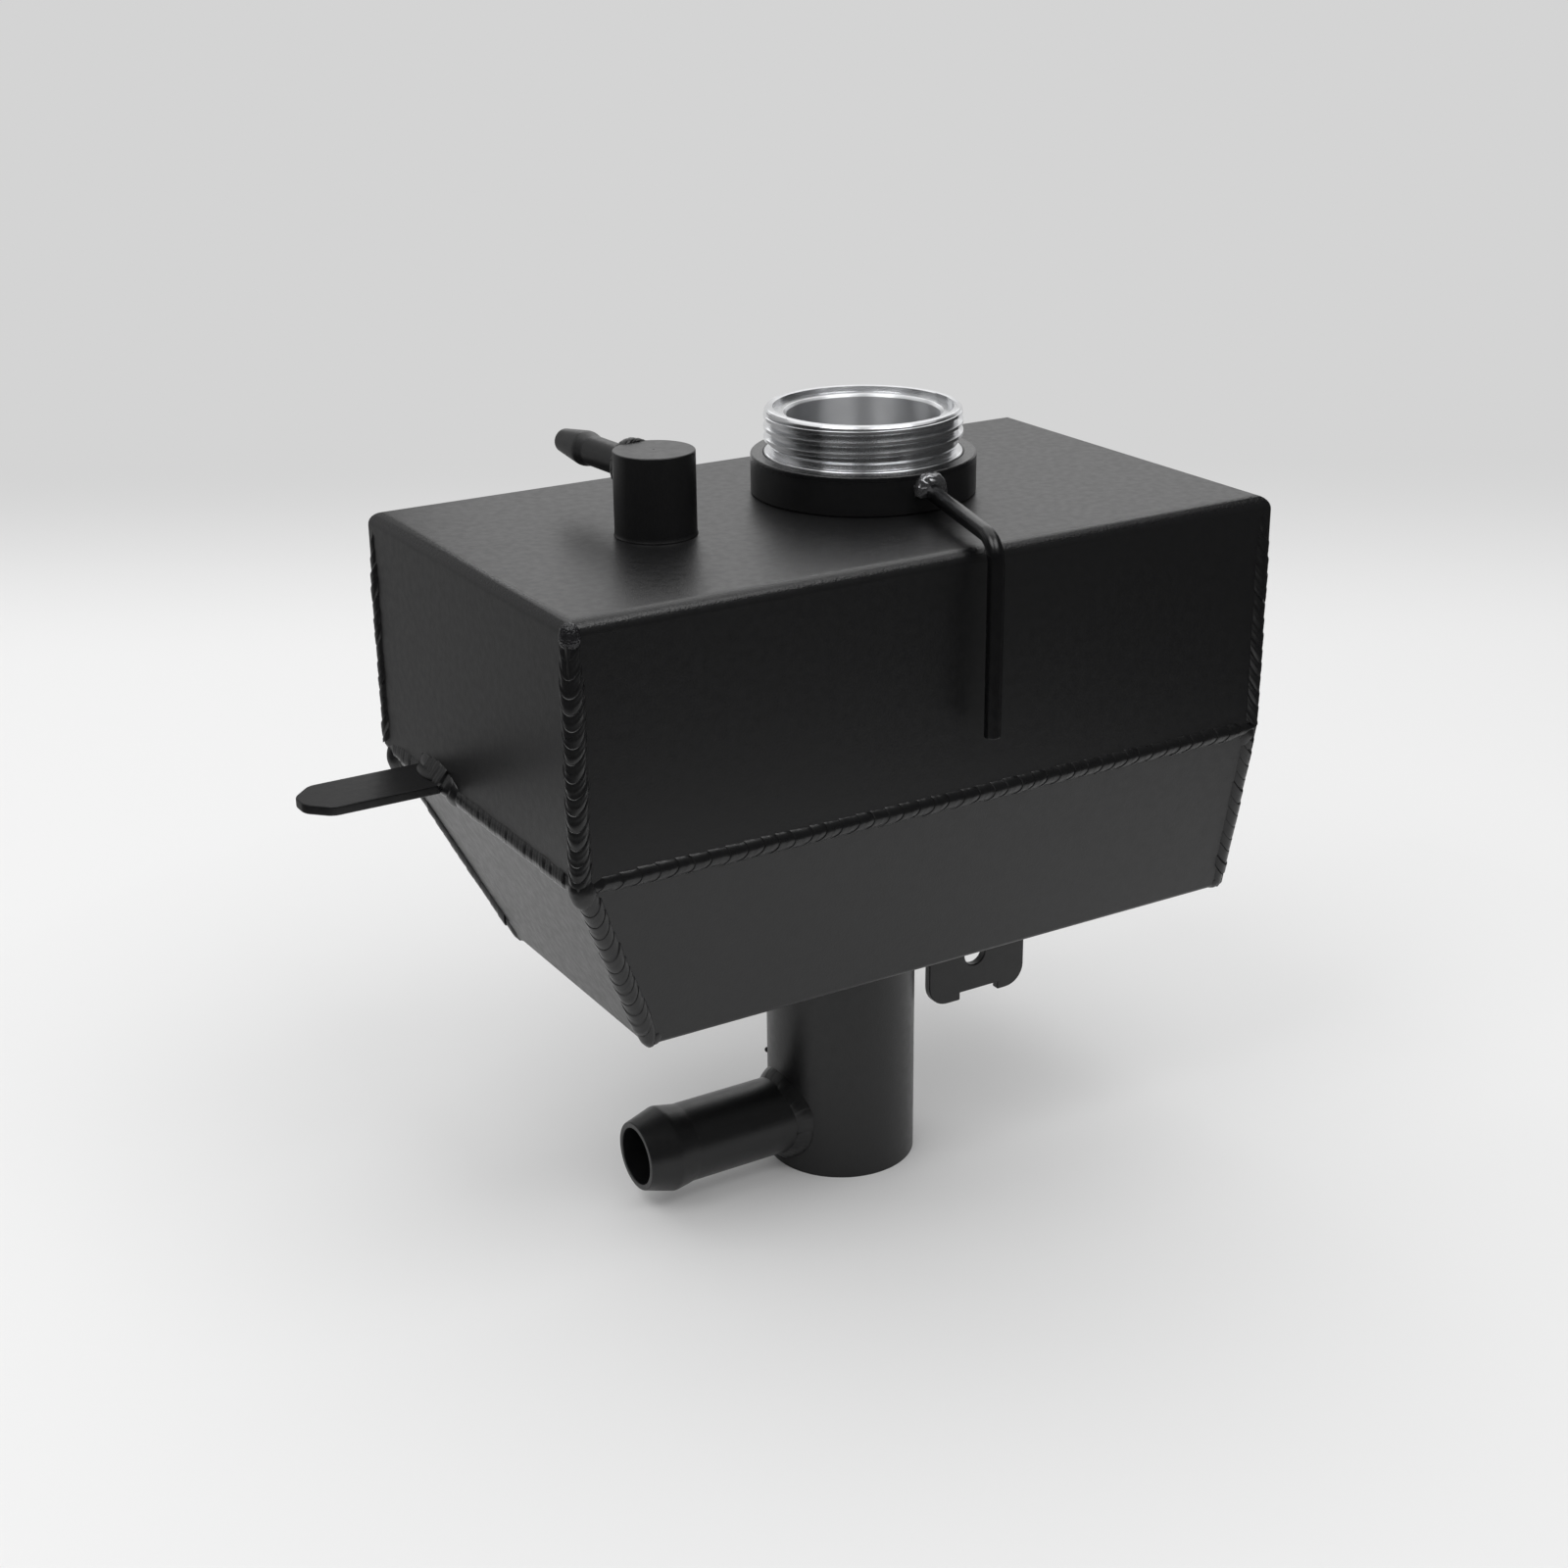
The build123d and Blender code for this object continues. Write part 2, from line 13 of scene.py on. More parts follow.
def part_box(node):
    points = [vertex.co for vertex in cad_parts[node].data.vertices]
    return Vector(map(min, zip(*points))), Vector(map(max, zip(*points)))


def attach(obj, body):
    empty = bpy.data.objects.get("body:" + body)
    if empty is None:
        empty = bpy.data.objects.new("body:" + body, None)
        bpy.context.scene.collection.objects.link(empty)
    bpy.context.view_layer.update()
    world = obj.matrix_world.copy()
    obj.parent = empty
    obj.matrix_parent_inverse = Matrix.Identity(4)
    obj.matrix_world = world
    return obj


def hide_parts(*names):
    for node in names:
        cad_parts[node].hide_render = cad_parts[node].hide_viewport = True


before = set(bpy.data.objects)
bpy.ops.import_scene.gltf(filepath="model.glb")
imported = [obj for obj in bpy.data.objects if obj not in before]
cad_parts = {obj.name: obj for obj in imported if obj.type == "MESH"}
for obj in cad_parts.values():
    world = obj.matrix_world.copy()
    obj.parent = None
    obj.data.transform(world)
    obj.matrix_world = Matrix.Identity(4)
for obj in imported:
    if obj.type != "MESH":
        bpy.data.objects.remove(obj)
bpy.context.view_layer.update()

MM = 0.001
UP = Vector((0, 0, 1))
UNTURNED = Matrix.Identity(3)
# Two points of a mesh that are closer than this are one
DOUBLES = 0.002 * MM

# Tank, in metres, in the frame of the solids: +X along the long side, -Y the front, foot at height 0
LEFT, RIGHT = -101.0 * MM, 97.2 * MM
FRONT, REAR = -50.6 * MM, 61.4 * MM
FLOOR, SEAM, TOP = 69.2 * MM, 118.7 * MM, 180.7 * MM
SHEET = 2.5 * MM
FOLD_RADIUS = 3.5 * MM
FLOOR_FOLD_RADIUS = 2.0 * MM
# How far the hopper's floor is set in from the cover's walls
INSET_LEFT, INSET_FRONT, INSET_REAR = 21.3 * MM, 10 * MM, 29 * MM

# Where the fittings stand
FILLER = Vector((14.7, 11.8, 180.7)) * MM
BOSS = Vector((-50.4, 2.8, 180.7)) * MM
VENT_ANGLE = math.radians(4)
VENT_HEIGHT = 15 * MM
SIDE_TAIL_HEIGHT = 14.6 * MM

# Radii of the turned pieces and of the hole that the neck stands in, and the overflow pipe's place on the
# collar, in millimetres
NECK_BORE, NECK_HOLE = 19.6, 20.6
COLLAR_BORE, COLLAR_OUTSIDE = 25.45, 28.9
BOSS_BORE, BOSS_OUTSIDE = 4.5, 10
TUBE_BORE, TUBE_MIDWALL, TUBE_OUTSIDE = 17.5, 18.5, 20
SIDE_TAIL_BORE = 7.65
OVERFLOW_ASIDE, OVERFLOW_HEIGHT = 0.7, 5.7


# Working by hand, in code

def settle(name):
    """Names the primitive just added and puts its place into its mesh."""
    piece = bpy.context.object
    piece.name = name
    piece.data.name = name
    bpy.ops.object.transform_apply(location=True, rotation=True, scale=True)
    return piece


def select_only(*pieces):
    bpy.ops.object.select_all(action="DESELECT")
    for piece in pieces:
        piece.select_set(True)
    bpy.context.view_layer.objects.active = pieces[0]


def open_mesh(piece, mode="VERT"):
    """Starts to edit a piece's mesh, with nothing selected."""
    select_only(piece)
    bpy.ops.object.mode_set(mode="EDIT")
    bpy.ops.mesh.select_mode(type=mode)
    bpy.ops.mesh.select_all(action="DESELECT")


def close_mesh():
    bpy.ops.object.mode_set(mode="OBJECT")


def pick_faces(piece, wanted):
    """Selects the faces for which wanted(middle, normal) holds."""
    bpy.ops.mesh.select_mode(type="FACE")
    bpy.ops.mesh.select_all(action="DESELECT")
    shape = bmesh.from_edit_mesh(piece.data)
    for face in shape.faces:
        face.select_set(wanted(face.calc_center_median(), face.normal))
    bmesh.update_edit_mesh(piece.data)


def pick_edges(piece, wanted):
    """Selects the edges for which wanted(one end, other end) holds."""
    bpy.ops.mesh.select_mode(type="EDGE")
    bpy.ops.mesh.select_all(action="DESELECT")
    shape = bmesh.from_edit_mesh(piece.data)
    for edge in shape.edges:
        edge.select_set(wanted(edge.verts[0].co, edge.verts[1].co))
    bmesh.update_edit_mesh(piece.data)


def near(value, target):
    return abs(value - target) < 0.01 * MM


def apply_modifier(piece, kind, **settings):
    select_only(piece)
    modifier = piece.modifiers.new(kind.lower(), kind)
    for setting, value in settings.items():
        setattr(modifier, setting, value)
    bpy.ops.object.modifier_apply(modifier=modifier.name)


def toward(direction):
    """The turn that lays what stands upright along a direction."""
    return Vector(direction).to_track_quat("Z", "Y")


def place_piece(piece, point=(0, 0, 0), turn=UNTURNED):
    """Turns and moves a piece that was made at the origin, and puts its place into its mesh."""
    select_only(piece)
    piece.matrix_world = Matrix.Translation(point) @ turn.to_4x4()
    bpy.ops.object.transform_apply(location=True, rotation=True, scale=True)


def cut_away(piece, cutter):
    apply_modifier(piece, "BOOLEAN", operation="DIFFERENCE", object=cutter, solver="EXACT")
    bpy.data.objects.remove(cutter, do_unlink=True)


def drill(piece, start, end, radius, sides=96):
    """Cuts a round hole from start to end, its radius in millimetres."""
    run = Vector(end) - Vector(start)
    bpy.ops.mesh.primitive_cylinder_add(
        vertices=sides,
        radius=radius * MM,
        depth=run.length,
        location=(Vector(start) + Vector(end)) / 2,
        rotation=toward(run).to_euler(),
    )
    cut_away(piece, settle("drill"))


def trim(piece, point, away):
    """Cuts off what lies on the away side of a plane and closes the cut."""
    open_mesh(piece)
    bpy.ops.mesh.select_all(action="SELECT")
    bpy.ops.mesh.bisect(plane_co=point, plane_no=away, use_fill=True, clear_outer=True)
    close_mesh()


def bend_round(piece, radius):
    """Bends what lies along X onto a circle of that radius, in millimetres, round an upright axis."""
    places = [vertex.co.x for vertex in piece.data.vertices]
    angle = (max(places) - min(places)) / (radius * MM)
    apply_modifier(piece, "SIMPLE_DEFORM", deform_method="BEND", deform_axis="Z", angle=angle)


def soften(piece, width, segments=3, angle=60):
    """Rounds every edge that is sharper than the angle, as the coat or the file does."""
    apply_modifier(
        piece, "BEVEL", width=width, segments=segments, limit_method="ANGLE", angle_limit=math.radians(angle)
    )


def thicken(piece):
    """Gives folded sheet its thickness inwards, coated outside and bare inside."""
    piece.data.materials.append(coat)
    piece.data.materials.append(mill_metal)
    apply_modifier(piece, "SOLIDIFY", thickness=SHEET, offset=-1, use_even_offset=True, material_offset=1)


def shade(piece, angle=32, weighted=True):
    """Shades a piece smooth up to the angle, with its large faces kept flat if weighted."""
    select_only(piece)
    bpy.ops.object.shade_smooth_by_angle(angle=math.radians(angle))
    if weighted:
        apply_modifier(piece, "WEIGHTED_NORMAL", keep_sharp=True)


def close_seams(piece):
    """Merges doubles, drops loose points and edges, and turns every face outwards."""
    open_mesh(piece)
    bpy.ops.mesh.select_all(action="SELECT")
    bpy.ops.mesh.remove_doubles(threshold=DOUBLES)
    bpy.ops.mesh.delete_loose(use_verts=True, use_edges=True, use_faces=False)
    bpy.ops.mesh.select_all(action="SELECT")
    bpy.ops.mesh.normals_make_consistent(inside=False)
    close_mesh()


def block(name, low, high):
    """A cube added at its size and place."""
    low, high = Vector(low), Vector(high)
    bpy.ops.mesh.primitive_cube_add(size=1, location=(low + high) / 2, scale=high - low)
    return settle(name)


def turned(name, foot, outline, sides=128):
    """A turned piece standing on foot: a circle extruded and resized along a closed outline of
    (radius, height) points in millimetres."""
    foot = Vector(foot)
    radius, height = outline[0]
    bpy.ops.mesh.primitive_circle_add(
        vertices=sides, radius=radius * MM, location=foot + UP * height * MM, fill_type="NOTHING"
    )
    piece = settle(name)
    open_mesh(piece)
    bpy.ops.mesh.select_all(action="SELECT")
    for next_radius, next_height in outline[1:] + outline[:1]:
        rise = (next_height - height) * MM
        bpy.ops.mesh.extrude_region_move(TRANSFORM_OT_translate={"value": (0, 0, rise)})
        growth = next_radius / radius
        bpy.ops.transform.resize(
            value=(growth, growth, 1), center_override=foot + UP * next_height * MM
        )
        radius, height = next_radius, next_height
    close_mesh()
    close_seams(piece)
    return piece


def finish_piece(piece, material, slot, *nodes):
    """Gives a piece its finish unless it has one, attaches it to the root body and hides the solids
    that it stands for. The slot is not used.
    """
    if not piece.data.materials:
        piece.data.materials.append(material)
    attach(piece, "root")
    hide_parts(*nodes)


# Materials

def from_hex(code):
    """An sRGB hex colour as linear light."""
    channels = [int(code[i:i + 2], 16) / 255 for i in (1, 3, 5)]
    return tuple(c / 12.92 if c <= 0.04045 else ((c + 0.055) / 1.055) ** 2.4 for c in channels) + (1,)


def node(tree, kind, sockets=(), **settings):
    """Adds one node with its settings, its socket values and its links."""
    added = tree.nodes.new(kind)
    for setting, value in settings.items():
        setattr(added, setting, value)
    for socket, value in dict(sockets).items():
        if isinstance(value, bpy.types.NodeSocket):
            tree.links.new(value, added.inputs[socket])
        else:
            added.inputs[socket].default_value = value
    return added


def new_material(name):
    material = bpy.data.materials.new(name)
    material.use_nodes = True
    tree = material.node_tree
    tree.nodes.clear()
    return material, tree


def per_metre(millimetres):
    """Noise scale whose features repeat at that length."""
    return 1 / (millimetres * MM)


def satin_powder_coat(name, grain_height, roughness, rim, tones=("#0b0b0c", "#121213"), metal=0.0):
    """Satin black polyester powder coat, sprayed and baked: near black, with a fine orange peel that
    breaks highlights into grain. Just under the rim, a height in metres, the film is thicker and
    coarser, and it sparkles. Where the film is thin, the metal under it shines through. The grain's
    height is in millimetres."""
    material, tree = new_material(name)
    place = node(tree, "ShaderNodeTexCoord").outputs["Object"]
    height = node(tree, "ShaderNodeSeparateXYZ", {"Vector": place}).outputs["Z"]

    # 0.55 mm grain and 2.2 mm orange peel, and the slow waves of 2.5 mm sheet pulled by its welds
    grain = node(
        tree,
        "ShaderNodeTexNoise",
        {"Vector": place, "Scale": per_metre(0.55), "Detail": 2.0, "Roughness": 0.6},
    )
    peel = node(tree, "ShaderNodeTexNoise", {"Vector": place, "Scale": per_metre(2.2), "Detail": 1.0})
    waves = node(tree, "ShaderNodeTexNoise", {"Vector": place, "Scale": per_metre(70), "Detail": 1.0})

    # The thick film: it grows over the last 2.8 mm up to the rim, and is gone on the flat above
    thickening = node(
        tree,
        "ShaderNodeMapRange",
        {
            "Value": height,
            "From Min": rim - 2.8 * MM,
            "From Max": rim - 1.0 * MM,
            "To Min": 0.0,
            "To Max": 1.0,
        },
        interpolation_type="SMOOTHSTEP",
    )
    below_rim = node(
        tree,
        "ShaderNodeMapRange",
        {
            "Value": height,
            "From Min": rim - 0.25 * MM,
            "From Max": rim - 0.02 * MM,
            "To Min": 1.0,
            "To Max": 0.0,
        },
    )
    thick_film = node(
        tree,
        "ShaderNodeMath",
        {0: thickening.outputs["Result"], 1: below_rim.outputs["Result"]},
        operation="MULTIPLY",
    )
    grain_lift = node(
        tree,
        "ShaderNodeMapRange",
        {
            "Value": thick_film.outputs["Value"],
            "To Min": 0.4 * grain_height * MM,
            "To Max": 1.7 * grain_height * MM,
        },
    )
    waved = node(
        tree, "ShaderNodeBump", {"Height": waves.outputs["Fac"], "Strength": 1.0, "Distance": 0.1 * MM}
    )
    peeled = node(
        tree,
        "ShaderNodeBump",
        {
            "Height": peel.outputs["Fac"],
            "Strength": 1.0,
            "Distance": 0.009 * MM,
            "Normal": waved.outputs["Normal"],
        },
    )
    grained = node(
        tree,
        "ShaderNodeBump",
        {
            "Height": grain.outputs["Fac"],
            "Strength": 1.0,
            "Distance": grain_lift.outputs["Result"],
            "Normal": peeled.outputs["Normal"],
        },
    )
    peel_roughness = node(
        tree,
        "ShaderNodeMapRange",
        {
            "Value": peel.outputs["Fac"],
            "From Min": 0.3,
            "From Max": 0.7,
            "To Min": roughness - 0.03,
            "To Max": roughness + 0.03,
        },
    )
    sparkle = node(
        tree, "ShaderNodeMath", {0: thick_film.outputs["Value"], 1: 0.5}, operation="MULTIPLY"
    )
    film_roughness = node(
        tree,
        "ShaderNodeMix",
        {"Factor": sparkle.outputs["Value"], "A": peel_roughness.outputs["Result"], "B": 0.08},
        data_type="FLOAT",
    )
    tone = node(
        tree,
        "ShaderNodeMix",
        {"Factor": grain.outputs["Fac"], "A": from_hex(tones[0]), "B": from_hex(tones[1])},
        data_type="RGBA",
    )
    shader = node(
        tree,
        "ShaderNodeBsdfPrincipled",
        {
            "Base Color": tone.outputs["Result"],
            "Metallic": metal,
            "Roughness": film_roughness.outputs["Result"],
            "IOR": 1.5,
            "Normal": grained.outputs["Normal"],
        },
    )
    node(tree, "ShaderNodeOutputMaterial", {"Surface": shader.outputs["BSDF"]})
    return material


def mill_aluminium():
    """Bare aluminium sheet as rolled, inside the tank where no coat reaches: pale and cloudy."""
    material, tree = new_material("mill_finish_aluminium")
    place = node(tree, "ShaderNodeTexCoord").outputs["Object"]
    # Clouds of oxide about 12 mm across
    clouds = node(tree, "ShaderNodeTexNoise", {"Vector": place, "Scale": per_metre(12), "Detail": 3.0})
    roughness = node(
        tree,
        "ShaderNodeMapRange",
        {"Value": clouds.outputs["Fac"], "From Min": 0.3, "From Max": 0.7, "To Min": 0.38, "To Max": 0.5},
    )
    shader = node(
        tree,
        "ShaderNodeBsdfPrincipled",
        {"Base Color": from_hex("#d2d3d5"), "Metallic": 1.0, "Roughness": roughness.outputs["Result"]},
    )
    node(tree, "ShaderNodeOutputMaterial", {"Surface": shader.outputs["BSDF"]})
    return material


def turned_aluminium():
    """Bare aluminium off the lathe: bright, with fine rings round its axis that draw every highlight out
    across them into upright streaks. In the bore it is duller."""
    material, tree = new_material("turned_aluminium")
    place = node(tree, "ShaderNodeTexCoord").outputs["Object"]
    centred = node(tree, "ShaderNodeMapping", {"Vector": place, "Location": -FILLER})
    axes = node(tree, "ShaderNodeSeparateXYZ", {"Vector": centred.outputs["Vector"]})
    level = node(tree, "ShaderNodeCombineXYZ", {"X": axes.outputs["X"], "Y": axes.outputs["Y"]})
    radius = node(tree, "ShaderNodeVectorMath", {0: level.outputs["Vector"]}, operation="LENGTH")
    profile = node(
        tree, "ShaderNodeCombineXYZ", {"X": radius.outputs["Value"], "Y": axes.outputs["Z"]}
    )
    # Tool marks are 0.1 mm apart, drawn 0.5 mm apart to show
    rings = node(
        tree,
        "ShaderNodeTexNoise",
        {"Vector": profile.outputs["Vector"], "Scale": per_metre(0.5), "Detail": 1.0},
    )
    # Smears of handling, 6 mm across
    smears = node(
        tree,
        "ShaderNodeTexNoise",
        {"Vector": centred.outputs["Vector"], "Scale": per_metre(6), "Detail": 3.0},
    )
    ringed = node(
        tree, "ShaderNodeBump", {"Height": rings.outputs["Fac"], "Strength": 1.0, "Distance": 0.004 * MM}
    )
    bore_wear = node(
        tree,
        "ShaderNodeMapRange",
        {
            "Value": radius.outputs["Value"],
            "From Min": 19.9 * MM,
            "From Max": 20.6 * MM,
            "To Min": 0.14,
            "To Max": 0.0,
        },
    )
    polish = node(
        tree,
        "ShaderNodeMapRange",
        {"Value": smears.outputs["Fac"], "From Min": 0.3, "From Max": 0.7, "To Min": 0.2, "To Max": 0.26},
    )
    roughness = node(
        tree,
        "ShaderNodeMath",
        {0: polish.outputs["Result"], 1: bore_wear.outputs["Result"]},
        operation="ADD",
    )
    round_axis = node(tree, "ShaderNodeTangent", direction_type="RADIAL", axis="Z")
    shader = node(
        tree,
        "ShaderNodeBsdfPrincipled",
        {
            "Base Color": from_hex("#e3e4e6"),
            "Metallic": 1.0,
            "Roughness": roughness.outputs["Value"],
            "Anisotropic": 0.97,
            "Anisotropic Rotation": 0.25,
            "Tangent": round_axis.outputs["Tangent"],
            "Normal": ringed.outputs["Normal"],
        },
    )
    node(tree, "ShaderNodeOutputMaterial", {"Surface": shader.outputs["BSDF"]})
    return material


# On sheet and tube: satin, its grain seen only in highlights, with a sparkling line along the top's folds
coat = satin_powder_coat("satin_black_powder_coat", 0.07, 0.37, TOP)
# On the filler collar: the same, its sparkling line along the collar's upper edge
collar_coat = satin_powder_coat("powder_coat_on_collar", 0.06, 0.37, TOP + 10.5 * MM)
# On the beads: smoother, so that each ripple's edge draws a thin bright line
weld_coat = satin_powder_coat("powder_coat_on_weld", 0.025, 0.3, TOP)
# On the last dab of weld: crusty and thin, black with bright specks
grainy_coat = satin_powder_coat("grainy_thin_coat", 0.35, 0.12, TOP + 9 * MM, ("#060607", "#323234"), 0.4)
# On the weld at the overflow pipe's root: so thin that its lumps shine like dark metal
glossy_coat = satin_powder_coat("glossy_thin_coat", 0.02, 0.14, TOP, ("#444446", "#a8a8aa"), 0.9)
# On the overflow pipe: flowed out, darker and sleeker than on the sheet
pipe_coat = satin_powder_coat("powder_coat_on_pipe", 0.02, 0.24, TOP + 1 * MM, ("#060607", "#0b0b0c"))
bare_metal = turned_aluminium()
mill_metal = mill_aluminium()


# Sheet metal

def make_cover():
    """Folded cover: a box open below, its top edges rounded and its two ports cut."""
    cover = block("cover", (LEFT, FRONT, SEAM), (RIGHT, REAR, TOP))
    open_mesh(cover)
    pick_faces(cover, lambda middle, normal: normal.z < -0.9)
    bpy.ops.mesh.delete(type="FACE")
    pick_edges(cover, lambda a, b: near(a.z, TOP) and near(b.z, TOP))
    bpy.ops.mesh.bevel(offset=FOLD_RADIUS, segments=7, affect="EDGES")
    close_mesh()
    thicken(cover)
    drill(cover, FILLER - UP * 4 * SHEET, FILLER + UP * SHEET, NECK_HOLE)
    drill(cover, BOSS - UP * 4 * SHEET, BOSS + UP * SHEET, BOSS_BORE)
    shade(cover)
    finish_piece(cover, coat, "black_coat", "upper_shell")


def make_hopper():
    """Folded hopper: a box open above, its floor drawn in on three sides and folded round."""
    hopper = block("hopper", (LEFT, FRONT, FLOOR), (RIGHT, REAR, SEAM))
    open_mesh(hopper)
    pick_faces(hopper, lambda middle, normal: normal.z < -0.9)
    length, depth = RIGHT - LEFT, REAR - FRONT
    shrink = ((length - INSET_LEFT) / length, (depth - INSET_FRONT - INSET_REAR) / depth, 1)
    bpy.ops.transform.resize(value=shrink, center_override=((LEFT + RIGHT) / 2, (FRONT + REAR) / 2, FLOOR))
    bpy.ops.transform.translate(value=(INSET_LEFT / 2, (INSET_FRONT - INSET_REAR) / 2, 0))
    pick_faces(hopper, lambda middle, normal: normal.z > 0.9)
    bpy.ops.mesh.delete(type="FACE")
    pick_edges(hopper, lambda a, b: near(a.z, FLOOR) and near(b.z, FLOOR))
    # On the leaning front wall the fold starts about 0.8 of its radius from the sharp corner
    bpy.ops.mesh.bevel(offset=FLOOR_FOLD_RADIUS * 0.8, segments=6, affect="EDGES")
    close_mesh()
    thicken(hopper)
    drill(hopper, (0, 0, FLOOR - 4 * SHEET), (0, 0, FLOOR + 4 * SHEET), TUBE_BORE)
    shade(hopper)
    finish_piece(hopper, coat, "black_coat", "lower_hopper")


def make_side_tab():
    """Flat tab with two chamfers at its tip, their corners rounded by the file."""
    chamfer, rounding = 5.5 * MM, 1.6 * MM
    low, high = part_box("side_tab")
    tab = block("tab", low, (LEFT - 0.1 * MM, high.y, high.z))
    open_mesh(tab)
    pick_edges(tab, lambda a, b: near(a.x, low.x) and near(b.x, low.x) and near(a.y, b.y))
    bpy.ops.mesh.bevel(offset=chamfer, segments=1, affect="EDGES")
    tip = low.x + chamfer + 0.5 * MM
    pick_edges(tab, lambda a, b: near(a.x, b.x) and near(a.y, b.y) and a.x < tip)
    bpy.ops.mesh.bevel(offset=rounding, segments=4, affect="EDGES")
    close_mesh()
    soften(tab, 0.45 * MM, angle=50)
    shade(tab)
    finish_piece(tab, coat, "black_coat", "side_tab")


def make_bottom_bracket():
    """Upright plate with two rounded feet, a notch between them and a hole for an M6 bolt."""
    low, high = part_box("bottom_bracket")
    bracket = block("bolt_bracket", low, high)
    open_mesh(bracket)
    pick_edges(bracket, lambda a, b: near(a.z, low.z) and near(b.z, low.z) and near(a.x, b.x))
    bpy.ops.mesh.bevel(offset=6 * MM, segments=8, affect="EDGES")
    close_mesh()
    notch_left, notch_width, notch_height = low.x + 10.4 * MM, 12.8 * MM, 2.2 * MM
    notch = block(
        "notch",
        (notch_left, low.y - SHEET, low.z - SHEET),
        (notch_left + notch_width, high.y + SHEET, low.z + notch_height),
    )
    cut_away(bracket, notch)
    hole = Vector((low.x + 15.2 * MM, 0, high.z - 22.5 * MM))
    through = Vector((0, SHEET, 0))
    drill(bracket, hole - through, hole + through, 3.4, sides=64)
    soften(bracket, 0.35 * MM, angle=50)
    shade(bracket)
    finish_piece(bracket, coat, "black_coat", "bottom_bracket")


# Tube, tails and turned pieces

def make_base_tube():
    """The tube that the tank stands on, and the disc that closes its foot."""
    outline = [(TUBE_BORE, 0), (TUBE_OUTSIDE, 0), (TUBE_OUTSIDE, 69.2), (TUBE_BORE, 69.2)]
    tube = turned("foot_tube", (0, 0, 0), outline, 192)
    way = Vector((0, 0, SIDE_TAIL_HEIGHT))
    drill(tube, way, way - Vector((40 * MM, 0, 0)), SIDE_TAIL_BORE)
    soften(tube, 0.7 * MM)
    shade(tube)
    finish_piece(tube, coat, "black_coat", "base_tube")
    outline = [(0.02, 0.4), (16.9, 0.4), (TUBE_BORE, 1), (TUBE_BORE, 3), (0.02, 3)]
    plug = turned("tube_end_disc", (0, 0, 0), outline, 96)
    shade(plug)
    finish_piece(plug, coat, "black_coat", "base_tube_end_plug")


def barbed_tail(name, bore, outside, crest, end, reach, cone, land, fall, root, edge, sides=96):
    """A hose tail turned upright at the origin, from its root to its reach: a plain stretch, the fall up
    to the barb's crest, the crest's land, and the cone down to its rounded end. All in millimetres, and
    the first four are diameters."""
    outline = [
        (bore / 2, root),
        (outside / 2, root),
        (outside / 2, reach - cone - land - fall),
        (crest / 2, reach - cone - land),
        (crest / 2, reach - cone),
        (end / 2, reach),
        (bore / 2, reach),
    ]
    tail = turned(name, (0, 0, 0), outline, sides)
    soften(tail, edge * MM, 4, angle=9)
    return tail


def make_side_hose_tail():
    tail = barbed_tail(
        "side_tail",
        bore=2 * SIDE_TAIL_BORE,
        outside=21,
        crest=23,
        end=18.4,
        reach=63.6,
        cone=7.8,
        land=0.6,
        fall=5.4,
        root=14.0,
        edge=0.3,
    )
    place_piece(tail, (0, 0, SIDE_TAIL_HEIGHT), toward((-1, 0, 0)).to_matrix())
    drill(tail, (0, 0, -40 * MM), (0, 0, 90 * MM), TUBE_MIDWALL, sides=192)
    shade(tail)
    finish_piece(tail, coat, "black_coat", "side_hose_tail")


def make_vent():
    """Round boss with a small fillet at its foot, and its hose tail."""
    roof, height = 18.2, 20.7
    boss = turned(
        "vent_stub",
        BOSS,
        [
            (BOSS_BORE, 0),
            (10.35, 0),
            (10.05, 0.5),
            (BOSS_OUTSIDE, 1.2),
            (BOSS_OUTSIDE, height),
            (0.02, height),
            (0.02, roof),
            (BOSS_BORE, roof),
        ],
    )
    soften(boss, 0.4 * MM)
    shade(boss)
    finish_piece(boss, coat, "black_coat", "vent_boss")
    tail = barbed_tail(
        "vent_tail",
        bore=4.4,
        outside=7.6,
        crest=8.8,
        end=6.0,
        reach=42.5,
        cone=10.5,
        land=1.0,
        fall=3.0,
        root=8.5,
        edge=1.0,
        sides=64,
    )
    direction = (-math.sin(VENT_ANGLE), math.cos(VENT_ANGLE), 0)
    place_piece(tail, BOSS + UP * VENT_HEIGHT, toward(direction).to_matrix())
    shade(tail)
    finish_piece(tail, coat, "black_coat", "vent_hose_tail")


